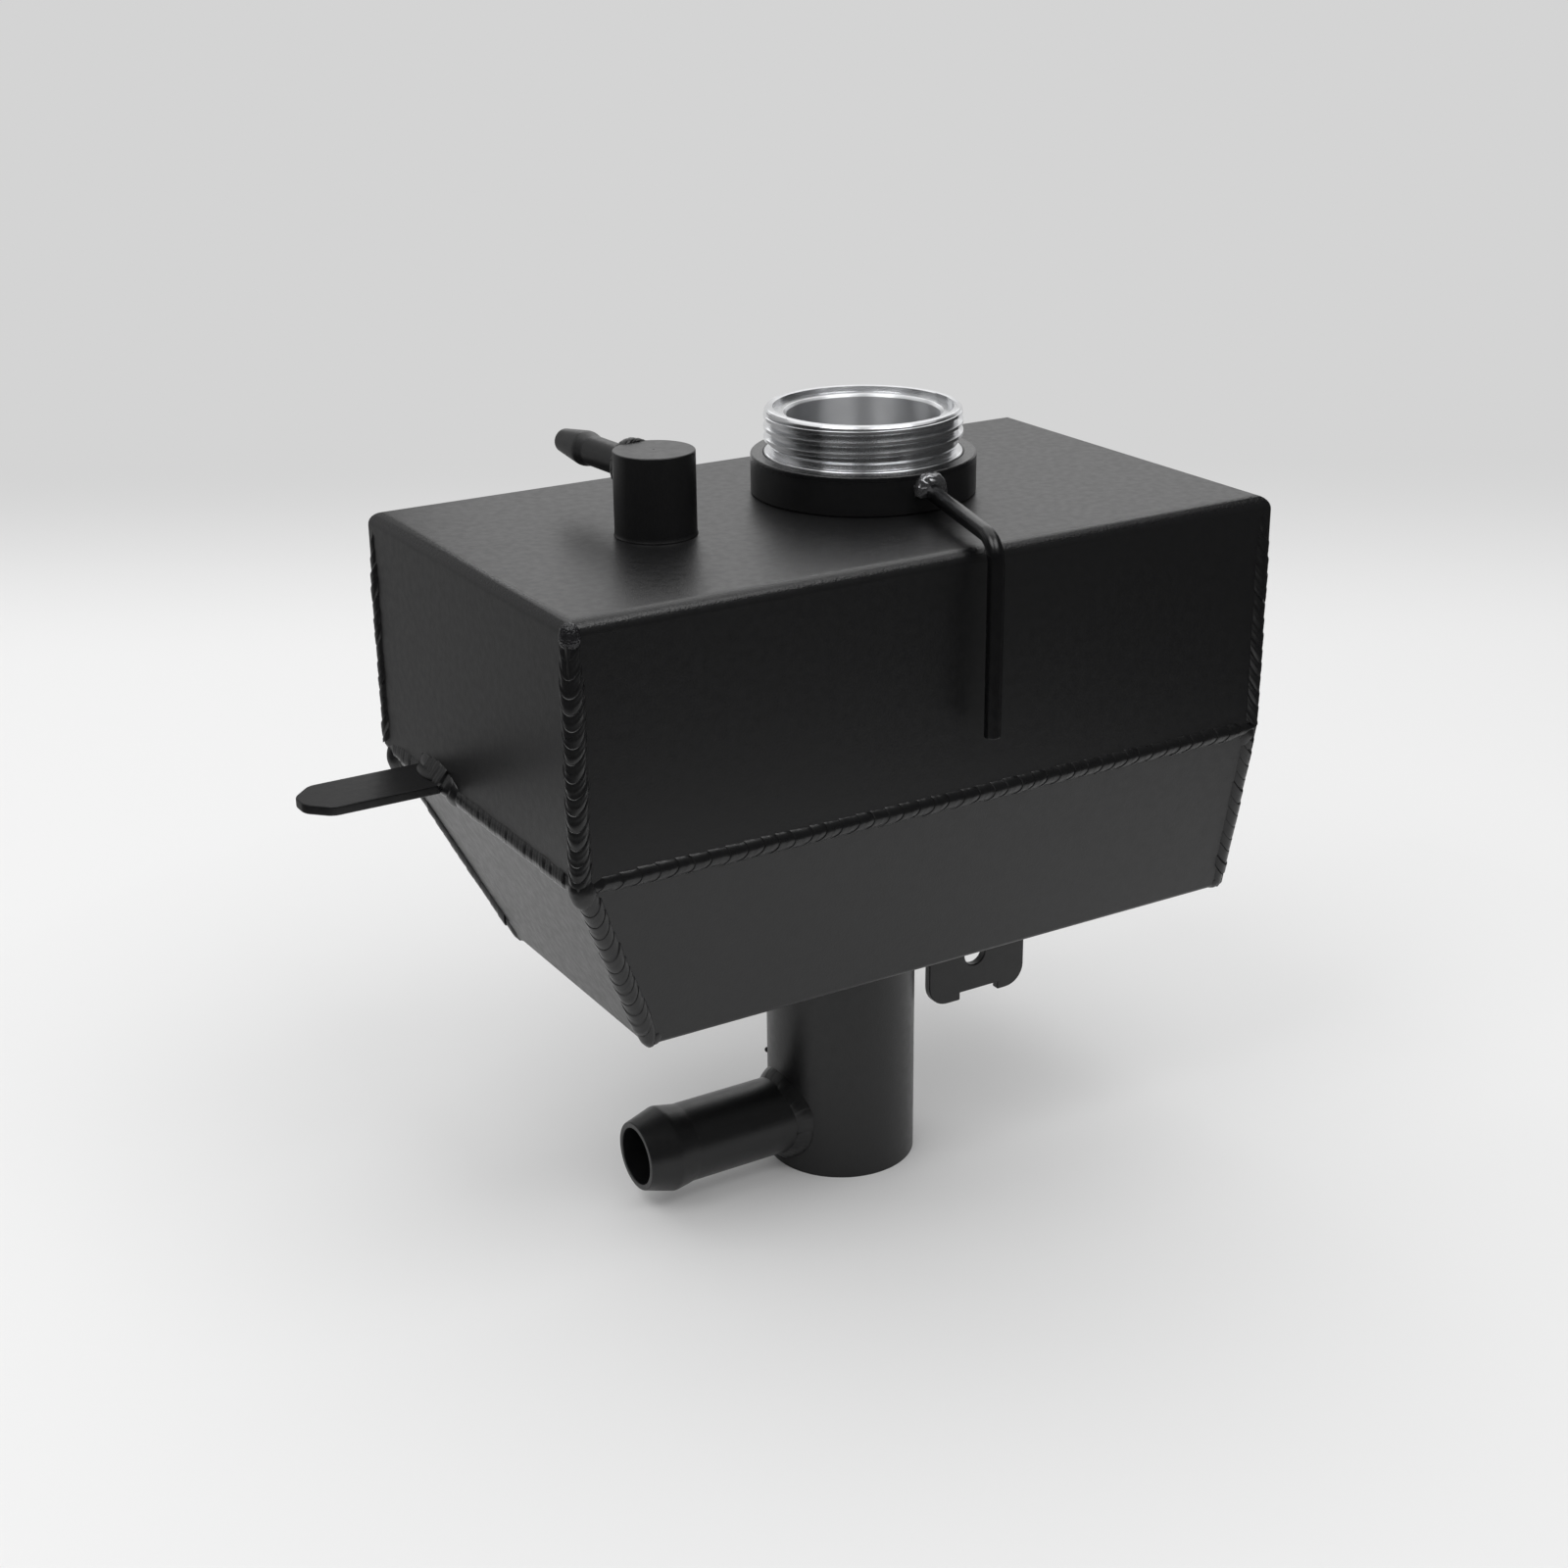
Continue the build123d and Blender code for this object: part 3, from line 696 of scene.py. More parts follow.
def make_filler():
    """Coated collar, and the bare screw neck in it."""
    outline = [(COLLAR_BORE, 0), (COLLAR_OUTSIDE, 0), (COLLAR_OUTSIDE, 10.2), (COLLAR_BORE, 10.2)]
    collar = turned("neck_collar", FILLER, outline, 192)
    soften(collar, 0.6 * MM, 4)
    shade(collar)
    finish_piece(collar, collar_coat, "black_coat", "filler_collar")

    # A spigot in the sheet's hole, a foot that fills the collar, an undercut, the thread's core, a rim
    # and a sunk shoulder
    neck = turned(
        "screw_neck",
        FILLER,
        [
            (NECK_BORE, -2.5),
            (20.5, -2.5),
            (20.5, 0),
            (25.4, 0),
            (25.4, 10.3),
            (25.1, 10.55),
            (23.6, 10.55),
            (23.6, 12.0),
            (24.2, 12.6),
            (24.2, 20.2),
            (24.6, 20.4),
            (25.2, 20.4),
            (25.2, 21.2),
            (24.6, 21.8),
            (23.0, 21.8),
            (23.0, 20.4),
            (20.3, 20.4),
            (NECK_BORE, 19.7),
        ],
        192,
    )
    soften(neck, 0.16 * MM, 2, angle=25)
    thread = make_thread()
    select_only(neck, thread)
    bpy.ops.object.join()
    shade(neck)
    finish_piece(neck, bare_metal, "bare_aluminium", "filler_neck")


def make_thread():
    """Right-handed ridge of coarse thread: a small face shaped to the ridge's section and screwed up
    round the neck, its two ends run out into the core."""
    pitch, turns, steps = 2.75, 3, 120
    depth, width, crest = 1.45 * MM, 2.3 * MM, 25.45 * MM
    bpy.ops.mesh.primitive_plane_add(size=1, location=(0, 0, 0))
    thread = settle("neck_thread")
    open_mesh(thread)
    bpy.ops.mesh.select_all(action="SELECT")
    bpy.ops.transform.rotate(
        value=math.pi / 2, orient_axis="X", center_override=(0, 0, 0), constraint_axis=(True, False, False)
    )
    bpy.ops.transform.resize(value=(depth, 1, width), center_override=(0, 0, 0))
    bpy.ops.transform.translate(value=(crest - depth / 2, 0, 0))
    pick_edges(thread, lambda a, b: a.x > 25 * MM and b.x > 25 * MM)
    bpy.ops.transform.resize(value=(1, 1, 0.34), center_override=(crest, 0, 0))
    bpy.ops.mesh.select_mode(type="FACE")
    bpy.ops.mesh.select_all(action="SELECT")
    bpy.ops.mesh.delete(type="ONLY_FACE")
    close_mesh()
    apply_modifier(
        thread,
        "SCREW",
        angle=2 * math.pi,
        screw_offset=pitch * MM,
        iterations=turns,
        steps=steps,
        render_steps=steps,
    )
    open_mesh(thread)
    bpy.ops.mesh.select_all(action="SELECT")
    bpy.ops.mesh.remove_doubles(threshold=DOUBLES)
    bpy.ops.mesh.select_all(action="DESELECT")
    bpy.ops.mesh.select_non_manifold()
    bpy.ops.mesh.fill_holes(sides=8)
    bpy.ops.mesh.select_all(action="SELECT")
    bpy.ops.mesh.normals_make_consistent(inside=False)
    # Run-outs: each stage sinks the last part of both ends a little further into the core
    run_out, stages, sink = math.radians(40), 12, 1 - 0.0065
    for stage in range(stages):
        turn = run_out * (1 - stage / stages)
        for end in (0, 1):
            pick_faces(thread, lambda middle, normal: in_run_out(middle, turn, end, pitch * turns))
            bpy.ops.transform.resize(value=(sink, sink, 1), center_override=(0, 0, 0))
    close_mesh()
    place_piece(thread, FILLER + UP * 12.85 * MM)
    return thread


def in_run_out(middle, turn, end, rise):
    """Whether a face of the screwed ridge is within a turn of its lower (0) or upper (1) end."""
    half_ridge = 1.4
    angle = math.atan2(middle.y, middle.x) % (2 * math.pi)
    if end == 0:
        return middle.z < half_ridge * MM and angle < turn
    return middle.z > (rise - half_ridge) * MM and angle > 2 * math.pi - turn


def make_overflow_pipe():
    """Thin pipe: a circle extruded out of the collar, spun round the bend and extruded down."""
    low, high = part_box("overflow_pipe")
    radius, bend, wall = 2.05 * MM, 6.5 * MM, 0.8 * MM
    ahead = math.sqrt(COLLAR_OUTSIDE ** 2 - OVERFLOW_ASIDE ** 2)
    port = FILLER + Vector((OVERFLOW_ASIDE, -ahead, OVERFLOW_HEIGHT)) * MM
    corner = Vector((FILLER.x - 8 * MM, FRONT - 7 * MM, TOP + 3.5 * MM))
    run = (corner - port).normalized()
    turn = math.acos(run.dot(-UP))
    setback = bend * math.tan(turn / 2)
    root = port - run * 3 * MM
    bend_start = corner - run * setback
    hub_direction = (-UP - run * run.dot(-UP)).normalized()
    hub = bend_start + hub_direction * bend
    axis = run.cross(-UP).normalized()
    bpy.ops.mesh.primitive_circle_add(
        vertices=40, radius=radius, location=root, rotation=toward(run).to_euler()
    )
    pipe = settle("overflow")
    open_mesh(pipe)
    bpy.ops.mesh.select_all(action="SELECT")
    bpy.ops.mesh.extrude_region_move(TRANSFORM_OT_translate={"value": bend_start - root})
    bpy.ops.mesh.spin(steps=18, angle=-turn, center=hub, axis=axis)
    drop = low.z - (TOP + 3.5 * MM - setback)
    bpy.ops.mesh.extrude_region_move(TRANSFORM_OT_translate={"value": (0, 0, drop)})
    close_mesh()
    close_seams(pipe)
    apply_modifier(pipe, "SOLIDIFY", thickness=wall, offset=-1, use_even_offset=True)
    soften(pipe, 0.25 * MM, 2)
    shade(pipe)
    finish_piece(pipe, pipe_coat, "black_coat", "overflow_pipe")


# Weld beads

# One frozen ripple, as shares of the pitch and of the bead's size: a thin ledge, then a slow fall with
# one faint line across it
RIPPLE_SECTION = (
    (0.0, 0.925),
    (0.035, 0.985),
    (0.1, 1.0),
    (0.3, 0.993),
    (0.5, 0.974),
    (0.545, 0.984),
    (0.62, 0.976),
    (0.85, 0.95),
)
RIPPLE_SIDES = 36

# One ring of a bead: its height, its shares of size and lean, its moves aside and forward in
# millimetres, and its turn
Ring = namedtuple("Ring", "height size lean aside forward turn", defaults=(0, 0, 0))


def ripple_rings(length, rise, pitch, seed, relief, first, last, wander):
    """The rings of a bead from foot to top: a low dome, its uneven ripples, and another dome."""
    uneven = random.Random(seed)
    count = max(3, round(length / pitch))
    steps = [uneven.uniform(1 - 0.13 * wander, 1 + 0.13 * wander) for ripple in range(count)]
    stretch = length / sum(steps)
    swells = [uneven.uniform(1 - 0.03 * wander, 1 + 0.03 * wander) for ripple in range(count)]
    swells[0] *= first
    swells[1] *= (1 + first) / 2
    swells[-1] *= last
    rings = [Ring(-0.62 * rise, 0.35 * first, 0.15), Ring(-0.35 * rise, 0.75 * first, 0.5)]
    height = 0
    for step, swell in zip(steps, swells):
        aside = uneven.uniform(-0.1, 0.1) * wander
        forward = uneven.uniform(-0.06, 0.06) * wander
        turn = math.radians(uneven.uniform(-7, 7) * wander)
        for share, size in RIPPLE_SECTION:
            ring_size = (1 - relief * (1 - size)) * swell
            rings.append(Ring(height + share * step * stretch, ring_size, 1, aside, forward, turn))
        height += step * stretch
    rings.append(Ring(length + 0.72 * rise, 0.75 * last, 0.5))
    rings.append(Ring(length + 1.18 * rise, 0.35 * last, 0.15))
    return rings


def raise_bead(
    name, length, across, out, pitch, seed, lean=50, relief=1.0, first=0.85, last=0.85, wander=1.0
):
    """A weld bead standing on the origin, its open side to the front, its section across by out
    millimetres in half size: a leaned ring extruded up ripple by ripple. First and last are the sizes of
    its two ends, relief is how deep its ripples are, and wander how uneven."""
    tilt = math.radians(lean)
    rings = ripple_rings(length, out * math.tan(tilt), pitch, seed, relief, first, last, wander)
    bpy.ops.mesh.primitive_circle_add(vertices=RIPPLE_SIDES, radius=MM, location=(0, 0, 0), fill_type="NGON")
    bead = settle(name)
    open_mesh(bead, "FACE")
    bpy.ops.mesh.select_all(action="SELECT")
    bpy.ops.transform.resize(value=(across, out / math.cos(tilt), 1), center_override=(0, 0, 0))
    bpy.ops.transform.rotate(
        value=-tilt, orient_axis="X", center_override=(0, 0, 0), constraint_axis=(True, False, False)
    )
    foot = rings[0]
    bpy.ops.transform.resize(value=(foot.size, foot.size, foot.lean), center_override=(0, 0, 0))
    bpy.ops.transform.translate(value=(0, 0, foot.height * MM))
    for below, ring in zip(rings, rings[1:]):
        aside, forward = ring.aside - below.aside, ring.forward - below.forward
        move = Vector((aside, forward, ring.height - below.height)) * MM
        middle = Vector((ring.aside, ring.forward, ring.height)) * MM
        bpy.ops.mesh.extrude_region_move(TRANSFORM_OT_translate={"value": move})
        growth = ring.size / below.size
        bpy.ops.transform.resize(value=(growth, growth, ring.lean / below.lean), center_override=middle)
        if ring.turn != below.turn:
            bpy.ops.transform.rotate(value=ring.turn - below.turn, orient_axis="Z", center_override=middle)
    close_mesh()
    return bead


def lay_bead(name, start, end, outward, across, out, pitch, seed, lean=50, **shape):
    """A bead along a straight run, in metres, its open side turned outward. Its first dome starts behind
    the run's start, and its last one ends past the leaned end by the rise of the lean."""
    run = end - start
    travel = run.normalized()
    outward = (outward - travel * outward.dot(travel)).normalized()
    rise = out * math.tan(math.radians(lean)) * MM
    bead = raise_bead(name, (run.length - 1.75 * rise) / MM, across, out, pitch, seed, lean=lean, **shape)
    turn = Matrix(((-outward).cross(travel), -outward, travel)).transposed()
    place_piece(bead, start + travel * 0.57 * rise, turn)
    return bead


def ring_bead(name, radius, across, out, pitch, seed, lift, **shape):
    """A bead bent into a ring round the upright axis of the origin, in millimetres. Its open side looks
    out from the ring and up by the angle lift, and its ends lap at the rear."""
    bead = raise_bead(name, 2 * math.pi * radius, across, out, pitch, seed, first=0.95, last=0.95, **shape)
    place_piece(bead, (-math.pi * radius * MM, 0, 0), Matrix.Rotation(math.pi / 2, 3, "Y"))
    place_piece(bead, turn=Matrix.Rotation(-lift, 3, "X"))
    bend_round(bead, radius)
    place_piece(bead, (0, -radius * MM, 0))
    return bead


def saddle_bead(name, carrier, radius, across, out, pitch, seed, place, heading, lap=0.0, **shape):
    """A ring bead round a pipe that leaves an upright carrier of that radius, in millimetres. Heading 0
    sends the pipe to the front, and lap turns the bead's lapped ends round the pipe from its top."""
    bead = ring_bead(name, radius, across, out, pitch, seed, math.radians(45), **shape)
    place_piece(bead, turn=Matrix.Rotation(lap, 3, "Z"))
    wrap = math.asin(radius / carrier) * carrier / radius
    place_piece(bead, turn=Matrix.Rotation(math.pi / 2, 3, "X") @ Matrix.Diagonal((wrap, 1, 1)))
    bend_round(bead, carrier)
    place_piece(bead, (0, -carrier * MM, 0))
    place_piece(bead, place, Matrix.Rotation(heading, 3, "Z"))
    return bead


def finish_bead(bead, *nodes, lumps=0.1, lump_size=1.6, angle=38, material=None):
    """Gives weld metal its small lumps, in millimetres, and its coat."""
    if lumps:
        texture = bpy.data.textures.new("weld_lumps", "CLOUDS")
        texture.noise_scale = lump_size * MM
        apply_modifier(bead, "DISPLACE", texture=texture, strength=lumps * MM, mid_level=0.5)
    shade(bead, angle=angle, weighted=False)
    finish_piece(bead, material or weld_coat, "coated_weld", *nodes)


# Each corner of the cover, with the ways inward from it
CORNERS = {
    "front_left": (LEFT, FRONT, 1, 1),
    "front_right": (RIGHT, FRONT, -1, 1),
    "rear_right": (RIGHT, REAR, -1, -1),
    "rear_left": (LEFT, REAR, 1, -1),
}
FLOOR_CORNERS = {
    "front_left": (LEFT + INSET_LEFT, FRONT + INSET_FRONT),
    "front_right": (RIGHT, FRONT + INSET_FRONT),
    "rear_right": (RIGHT, REAR - INSET_REAR),
    "rear_left": (LEFT + INSET_LEFT, REAR - INSET_REAR),
}


def make_corner_beads():
    """Nearly flush beads: their axis lies inside the sheets' outer faces, and only their front shows. Each
    upper bead ends at the seam in a ripple's curve."""
    radius = 2.75
    sink, depth = 1.75 * MM, 3.3 * MM
    for seed, (name, (x, y, inward_x, inward_y)) in enumerate(CORNERS.items()):
        inward = Vector((inward_x, inward_y, 0)).normalized()
        top = Vector((x + inward_x * sink, y + inward_y * sink, TOP - 2.3 * MM))
        seam = Vector((top.x, top.y, SEAM - 3.0 * MM))
        bead = lay_bead(
            "upper_corner_bead_" + name, top, seam, -inward, radius, radius, 3.9, seed, lean=54, last=1.0
        )
        trim(bead, Vector((x, y, 0)) + inward * depth, inward)
        trim(bead, Vector((x, y, SEAM + 0.6 * MM)), inward * 0.7 - UP)
        finish_bead(bead, "upper_corner_weld_" + name)

        floor_x, floor_y = FLOOR_CORNERS[name]
        floor = Vector((floor_x + inward_x * sink, floor_y + inward_y * sink, FLOOR + 0.4 * MM))
        edge = Vector((floor_x, floor_y, FLOOR)) - Vector((x, y, SEAM))
        level_inward = inward - edge * inward.dot(edge) / edge.length_squared
        seam = Vector((x + inward_x * sink, y + inward_y * sink, SEAM + 1.5 * MM))
        bead = lay_bead(
            "hopper_corner_bead_" + name,
            seam,
            floor,
            -level_inward,
            radius + 0.15,
            radius + 0.1,
            3.8,
            10 + seed,
            relief=0.6,
            first=1.0,
        )
        trim(bead, Vector((x, y, SEAM)) + level_inward.normalized() * depth, level_inward)
        finish_bead(bead, "hopper_corner_weld_" + name)


def set_drop(name, middle, halves, segments=48, rings=24):
    """A drop of weld metal that has set, in metres: a sphere stretched to its half sizes."""
    bpy.ops.mesh.primitive_uv_sphere_add(
        segments=segments, ring_count=rings, radius=1, location=middle, scale=halves
    )
    return settle(name)


def make_spatter():
    """The front left corner's last dab of weld, its coat gone grainy, and one ball of spatter."""
    bpy.ops.mesh.primitive_ico_sphere_add(
        subdivisions=6,
        radius=1,
        location=(LEFT + 1.7 * MM, FRONT + 1.7 * MM, TOP - 3.6 * MM),
        scale=(2.5 * MM, 2.5 * MM, 3.3 * MM),
    )
    dab = settle("corner_dab")
    finish_bead(dab, lumps=0.3, lump_size=0.45, angle=180, material=grainy_coat)

    radius = 0.75 * MM
    on_tube = (-17.0 * MM, 10.45 * MM, 28.4 * MM)
    ball = set_drop("spatter_ball", on_tube, (radius, radius, radius), segments=24, rings=12)
    finish_bead(ball, lumps=0.2, lump_size=1.0, angle=180)


def make_pools():
    """Where a bead ran over the ends of others: a smooth pool at each seam corner, and a blob at each
    corner of the hopper's floor."""
    insets = {"front_left": 2.5 * MM, "front_right": 2.8 * MM, "rear_right": 2.8 * MM, "rear_left": 2.7 * MM}
    drops = {"front_left": 1.2 * MM, "front_right": 1.2 * MM, "rear_right": 1.2 * MM, "rear_left": 3.2 * MM}
    floor_inset = 2.1 * MM
    for name, (x, y, inward_x, inward_y) in CORNERS.items():
        inset = insets[name]
        pool = set_drop(
            "corner_pool_" + name,
            (x + inset * inward_x, y + inset * inward_y, SEAM - drops[name]),
            (3.25 * MM, 3.25 * MM, 5.0 * MM),
        )
        finish_bead(pool, lumps=0.4, lump_size=3.0, angle=180, material=coat)

        floor_x, floor_y = FLOOR_CORNERS[name]
        blob = set_drop(
            "floor_blob_" + name,
            (floor_x + floor_inset * inward_x, floor_y + floor_inset * inward_y, FLOOR + 2.5 * MM),
            (2.9 * MM, 2.9 * MM, 3.1 * MM),
        )
        finish_bead(blob, lumps=0.4, lump_size=3.0, angle=180)


def make_tab_pools():
    """The smooth metal between the tab and its bead, and the drop where that bead meets the seam."""
    low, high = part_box("side_tab")
    pool = set_drop(
        "tab_pool",
        (LEFT + 0.8 * MM, (low.y + high.y) / 2 - 0.5 * MM, high.z + 0.1 * MM),
        (4.6 * MM, (high.y - low.y) * 0.48, 1.7 * MM),
        segments=64,
    )
    trim(pool, Vector((LEFT + 1.0 * MM, 0, 0)), Vector((1, 0, 0)))
    finish_bead(pool, lumps=0, angle=60, material=coat)
    drop = set_drop(
        "tab_end_pool",
        (LEFT + 0.4 * MM, low.y - 2.6 * MM, SEAM + 0.6 * MM),
        (2.1 * MM, 4.4 * MM, 3.6 * MM),
    )
    finish_bead(drop, lumps=0, angle=180)


def make_seam_beads():
    """Beads along the four sides where the cover stands on the hopper."""
    radius = 3.0
    sink = 0.64 * radius * MM
    runs = {
        "front": ((LEFT, FRONT), (RIGHT, FRONT), Vector((0, -1, 0.15)), 4.3),
        "rear": ((RIGHT, REAR), (LEFT, REAR), Vector((0, 1, 0.1)), 4.0),
        "left": ((LEFT, REAR), (LEFT, FRONT), Vector((-1, 0, 0)), 3.3),
        "right": ((RIGHT, FRONT), (RIGHT, REAR), Vector((1, 0, 0)), 3.8),
    }
    for seed, (side, (start, end, outward, pitch)) in enumerate(runs.items()):
        level = Vector((outward.x, outward.y, 0)).normalized()
        start = Vector((*start, SEAM)) - level * sink
        end = Vector((*end, SEAM)) - level * sink
        inset = (end - start).normalized() * sink * 0.4
        bead = lay_bead(
            "seam_bead_" + side, start + inset, end - inset, outward, radius, radius, pitch, 20 + seed
        )
        trim(bead, start - level * 0.5 * MM, -level)
        finish_bead(bead, "seam_weld_" + side)


def make_ring_beads():
    """Beads round the base tube's top and round the roots of the tails and the overflow pipe."""
    ring = ring_bead("foot_tube_bead", 20.8, 2.9, 2.6, 3.4, 31, math.radians(-45))
    place_piece(ring, (0, 0, FLOOR - 0.8 * MM))
    finish_bead(ring, "base_tube_weld")

    # A thin strap, its lapped ends on the hidden side
    place = UP * SIDE_TAIL_HEIGHT
    saddle = saddle_bead(
        "side_tail_bead", 20.7, 11.0, 3.0, 0.95, 3.0, 32, place, -math.pi / 2,
        lap=math.radians(-100), lean=60, relief=0.5, wander=0.6,
    )
    finish_bead(saddle, "side_tail_weld", lumps=0.08, material=coat)

    place = BOSS + UP * VENT_HEIGHT
    saddle = saddle_bead("vent_tail_bead", 10.5, 5.0, 2.1, 1.5, 2.0, 33, place, math.pi + VENT_ANGLE)
    finish_bead(saddle, "vent_tail_weld", lumps=0.3)

    # Lumpy, and only over the upper part of the pipe's root
    heading = math.atan2(OVERFLOW_ASIDE, COLLAR_OUTSIDE)
    place = FILLER + UP * OVERFLOW_HEIGHT * MM
    saddle = saddle_bead("overflow_bead", 29.7, 2.8, 2.4, 1.8, 2.4, 34, place, heading, relief=0.5)
    trim(saddle, place - UP * 1.0 * MM, -UP)
    finish_bead(saddle, "overflow_pipe_weld", lumps=1.1, material=glossy_coat)


def make_plate_beads():
    """The bead that comes down over the tab's root, and the bracket's two beads, joined."""
    low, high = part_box("side_tab")
    start = Vector((LEFT + 0.2 * MM, high.y - 1.5 * MM, high.z + 2.6 * MM))
    end = Vector((LEFT - 0.1 * MM, low.y - 4.2 * MM, high.z - 0.8 * MM))
    outward = Vector((-1, 0, 0.6))
    bead = lay_bead("tab_bead", start, end, outward, 4.2, 2.6, 2.8, 41, relief=1.1, first=0.6, last=0.8)
    trim(bead, Vector((LEFT + 1.6 * MM, 0, 0)), Vector((1, 0, 0)))
    finish_bead(bead, "tab_weld")

    low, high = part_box("bottom_bracket")
    halves = []
    for seed, side in enumerate((-1, 1)):
        y = side * 1.9 * MM
        start = Vector((low.x + 2.5 * MM, y, FLOOR - 0.7 * MM))
        end = Vector((high.x - 2.5 * MM, y, FLOOR - 0.7 * MM))
        halves.append(lay_bead("bracket_bead", start, end, Vector((0, side, -1)), 2.6, 1.7, 3.2, 42 + seed))
    select_only(*halves)
    bpy.ops.object.join()
    trim(halves[0], Vector((0, 0, FLOOR + 1.5 * MM)), UP)
    finish_bead(halves[0], "bracket_weld")


# Studio

VIEW_YAW = math.radians(30.843)
BEHIND = Vector((math.sin(VIEW_YAW), math.cos(VIEW_YAW), 0))
BACKGROUND = "#d4d4d4"


def make_floor():
    """Pale seamless paper: lit floor near the tank, fading to the plain background far behind it."""
    bpy.ops.mesh.primitive_circle_add(vertices=128, radius=9, location=(0, 0, 0), fill_type="NGON")
    floor = settle("paper")
    open_mesh(floor)
    pick_faces(floor, lambda middle, normal: True)
    bpy.ops.mesh.inset(thickness=6)
    close_mesh()
    material, tree = new_material("pale_paper")
    place = node(tree, "ShaderNodeTexCoord").outputs["Object"]
    behind = node(tree, "ShaderNodeVectorMath", {0: place, 1: BEHIND}, operation="DOT_PRODUCT")
    distance = node(tree, "ShaderNodeVectorMath", {0: place}, operation="LENGTH")
    # The paper turns up 0.42 to 0.8 m behind the tank, and on its other sides 1.2 to 2.6 m away
    cove = node(
        tree,
        "ShaderNodeMapRange",
        {"Value": behind.outputs["Value"], "From Min": 0.42, "From Max": 0.8},
        interpolation_type="SMOOTHSTEP",
    )
    far = node(
        tree,
        "ShaderNodeMapRange",
        {"Value": distance.outputs["Value"], "From Min": 1.2, "From Max": 2.6},
        interpolation_type="SMOOTHSTEP",
    )
    fade = node(
        tree, "ShaderNodeMath", {0: cove.outputs["Result"], 1: far.outputs["Result"]}, operation="MAXIMUM"
    )
    paper = node(
        tree, "ShaderNodeBsdfPrincipled", {"Base Color": from_hex("#e3e3e3"), "Roughness": 0.9, "IOR": 1.3}
    )
    back = node(tree, "ShaderNodeEmission", {"Color": from_hex(BACKGROUND), "Strength": 1.0})
    blend = node(
        tree,
        "ShaderNodeMixShader",
        {0: fade.outputs["Value"], 1: paper.outputs["BSDF"], 2: back.outputs["Emission"]},
    )
    node(tree, "ShaderNodeOutputMaterial", {"Surface": blend.outputs["Shader"]})
    floor.data.materials.append(material)


def make_card(name, low_azimuth, high_azimuth, distance, height, tone):
    """An upright card that glows in an even tone, bent round the tank and hidden from the camera: a painted
    reflection of the studio's side, seen only in the tank's gloss."""
    bpy.ops.mesh.primitive_circle_add(vertices=72, radius=distance, location=(0, 0, 0), fill_type="NOTHING")
    card = settle(name)
    open_mesh(card)
    pick_edges(card, lambda a, b: card_side((a + b) / 2, low_azimuth, high_azimuth))
    bpy.ops.mesh.extrude_region_move(TRANSFORM_OT_translate={"value": (0, 0, height)})
    close_mesh()
    material, tree = new_material("painted_reflection_card")
    # Painted reflection: the card glows in this tone and lights nothing but the gloss
    even_tone = node(tree, "ShaderNodeEmission", {"Color": from_hex(tone)})
    node(tree, "ShaderNodeOutputMaterial", {"Surface": even_tone.outputs["Emission"]})
    card.data.materials.append(material)
    card.visible_camera = False
    card.visible_diffuse = False
    card.visible_shadow = False


def card_side(point, low_azimuth, high_azimuth):
    """Whether a point's azimuth lies between two, in degrees: 0 is the camera's side, positive to its
    right."""
    azimuth = math.atan2(-point.y, point.x) - math.pi / 2 - VIEW_YAW
    azimuth = (math.degrees(-azimuth) + 180) % 360 - 180
    return low_azimuth < azimuth < high_azimuth


def make_light(name, place, target, size, power):
    bpy.ops.object.light_add(type="AREA", location=place)
    light = bpy.context.object
    light.name = name
    light.data.shape = "RECTANGLE"
    light.data.size, light.data.size_y = size
    light.data.energy = power
    light.visible_camera = False
    light.rotation_euler = (Vector(target) - Vector(place)).to_track_quat("-Z", "Y").to_euler()


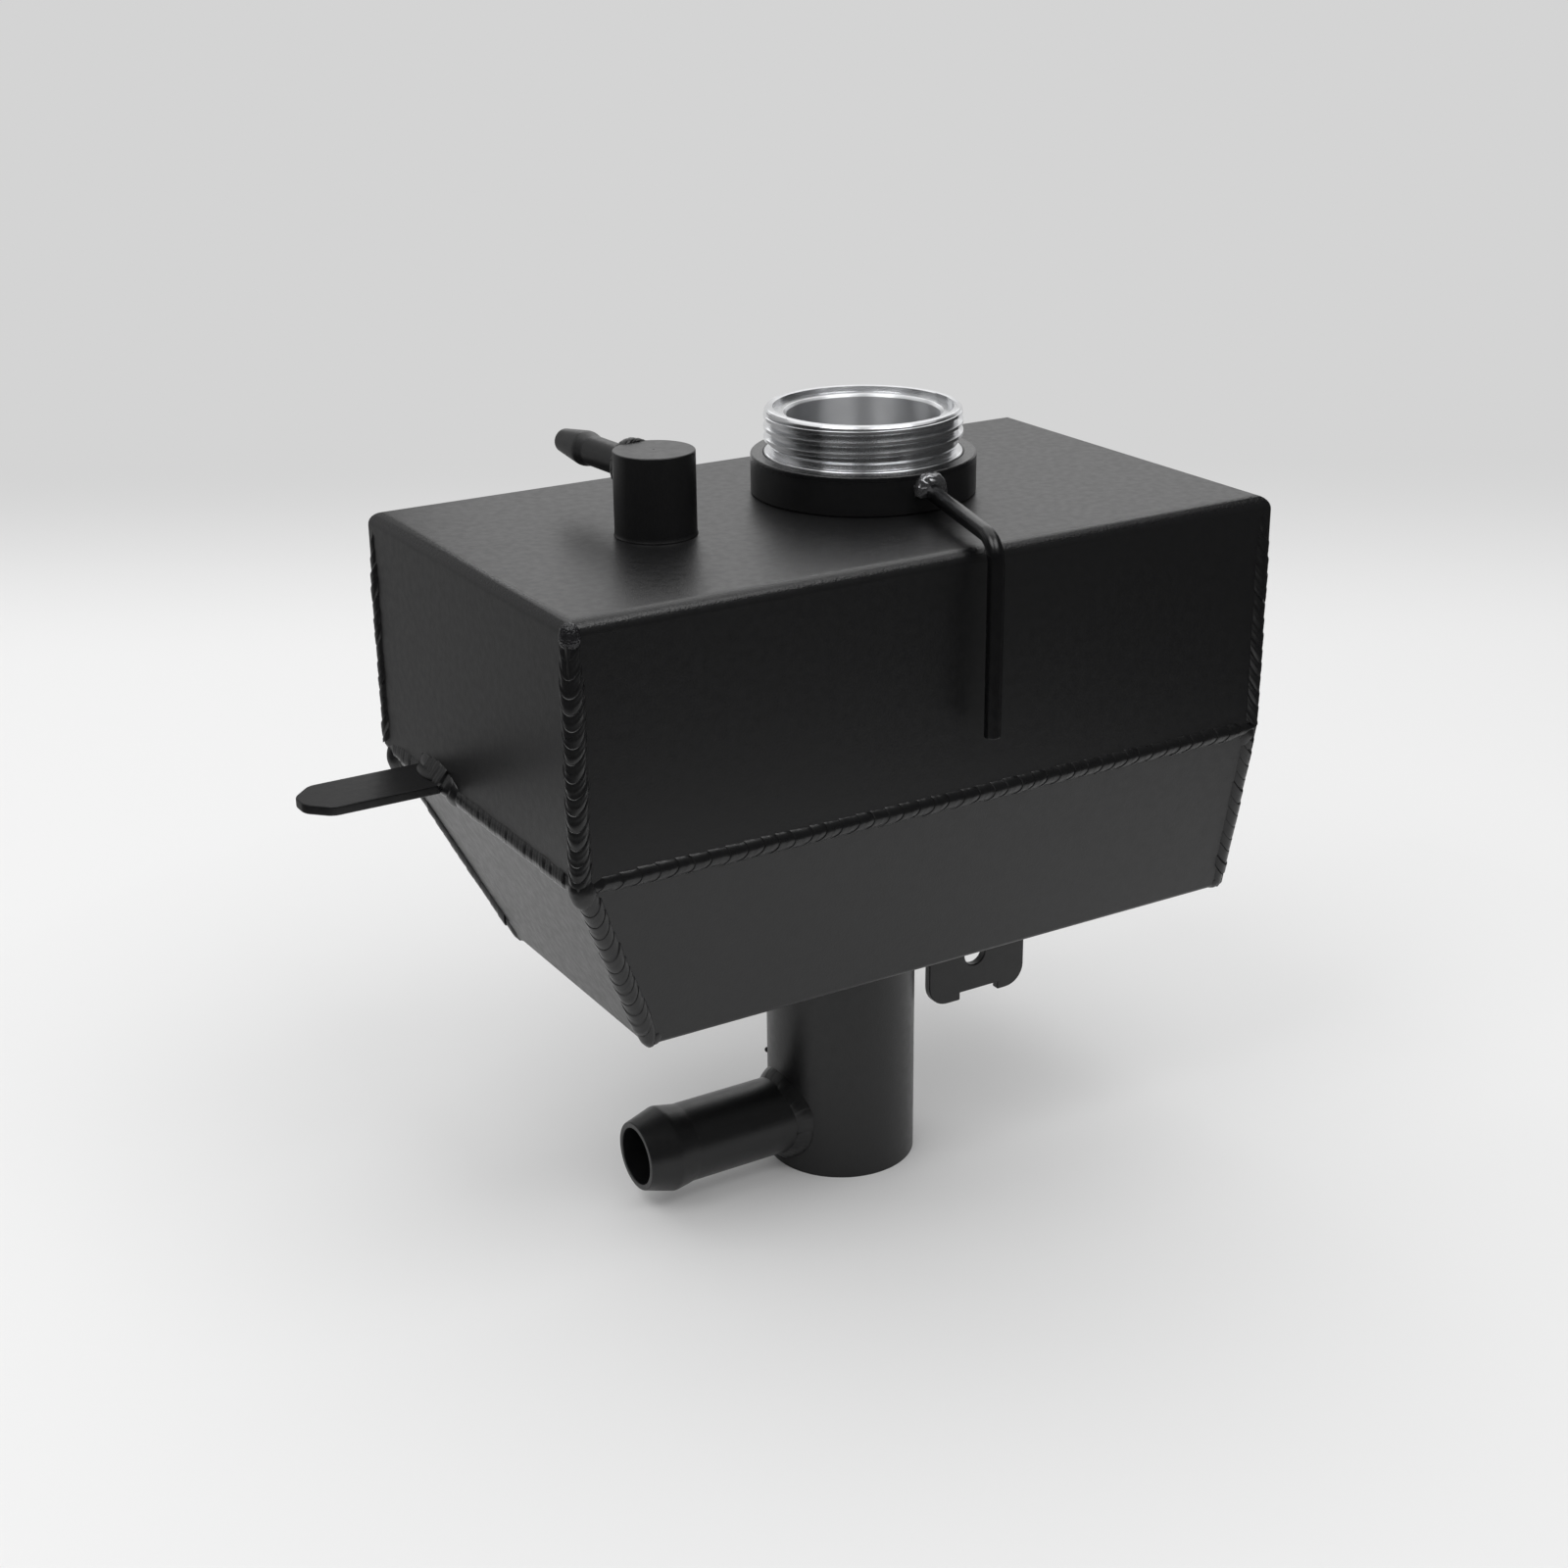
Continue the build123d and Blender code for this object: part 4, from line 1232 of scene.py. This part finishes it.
def make_world():
    world = bpy.data.worlds.new("studio")
    bpy.context.scene.world = world
    world.use_nodes = True
    tree = world.node_tree
    tree.nodes.clear()
    back = node(tree, "ShaderNodeBackground", {"Color": from_hex(BACKGROUND), "Strength": 1.0})
    node(tree, "ShaderNodeOutputWorld", {"Surface": back.outputs["Background"]})


def make_camera():
    """A camera where the photograph was taken from, tipped down and rolled a little."""
    yaw, pitch, roll = VIEW_YAW, math.radians(21.38), math.radians(-0.644)
    ahead = Vector((math.sin(yaw) * math.cos(pitch), math.cos(yaw) * math.cos(pitch), -math.sin(pitch)))
    right = Vector((math.cos(yaw), -math.sin(yaw), 0))
    up = right.cross(ahead)
    rolled_right = math.cos(roll) * right + math.sin(roll) * up
    rolled_up = math.cos(roll) * up - math.sin(roll) * right
    bpy.ops.object.camera_add()
    camera = bpy.context.object
    turn = Matrix((rolled_right, rolled_up, -ahead)).transposed()
    camera.matrix_world = Matrix.Translation(Vector((-310.2, -491.0, 333.7)) * MM) @ turn.to_4x4()
    camera.data.lens = 54.77
    camera.data.sensor_width = 36
    camera.data.clip_start = 0.01
    camera.data.clip_end = 50
    bpy.context.scene.camera = camera


make_camera()
make_cover()
make_hopper()
make_side_tab()
make_bottom_bracket()
make_base_tube()
make_side_hose_tail()
make_vent()
make_filler()
make_overflow_pipe()
make_corner_beads()
make_seam_beads()
make_ring_beads()
make_plate_beads()
make_spatter()
make_pools()
make_tab_pools()

make_floor()
make_world()
# Painted reflections, seen only in the gloss: a dark card in front and a pale one on the left
make_card("front_card", -90, 136, 0.3, 0.45, "#404040")
make_card("left_card", -150, -90, 0.3, 0.45, "#9a9a9a")
make_light("overhead", (0.2, 0.5, 1.25), (0, 0, 0.1), (1.7, 1.0), 3.6)
make_light("back_box", (0.45, 1.1, 0.8), (0, 0, 0.17), (1.4, 0.5), 1.7)
make_light("rear_fill", (-0.5, 0.8, 0.6), (-0.05, 0.1, 0), (0.5, 0.4), 0.8)
make_light("left_box", (-0.56, -0.16, 1.0), (0, 0, 0.15), (0.5, 0.6), 2.6)
make_light("right_box", (0.16, -0.57, 1.0), (0, 0, 0.15), (0.68, 0.6), 3.3)
bpy.context.scene.view_settings.view_transform = "Standard"
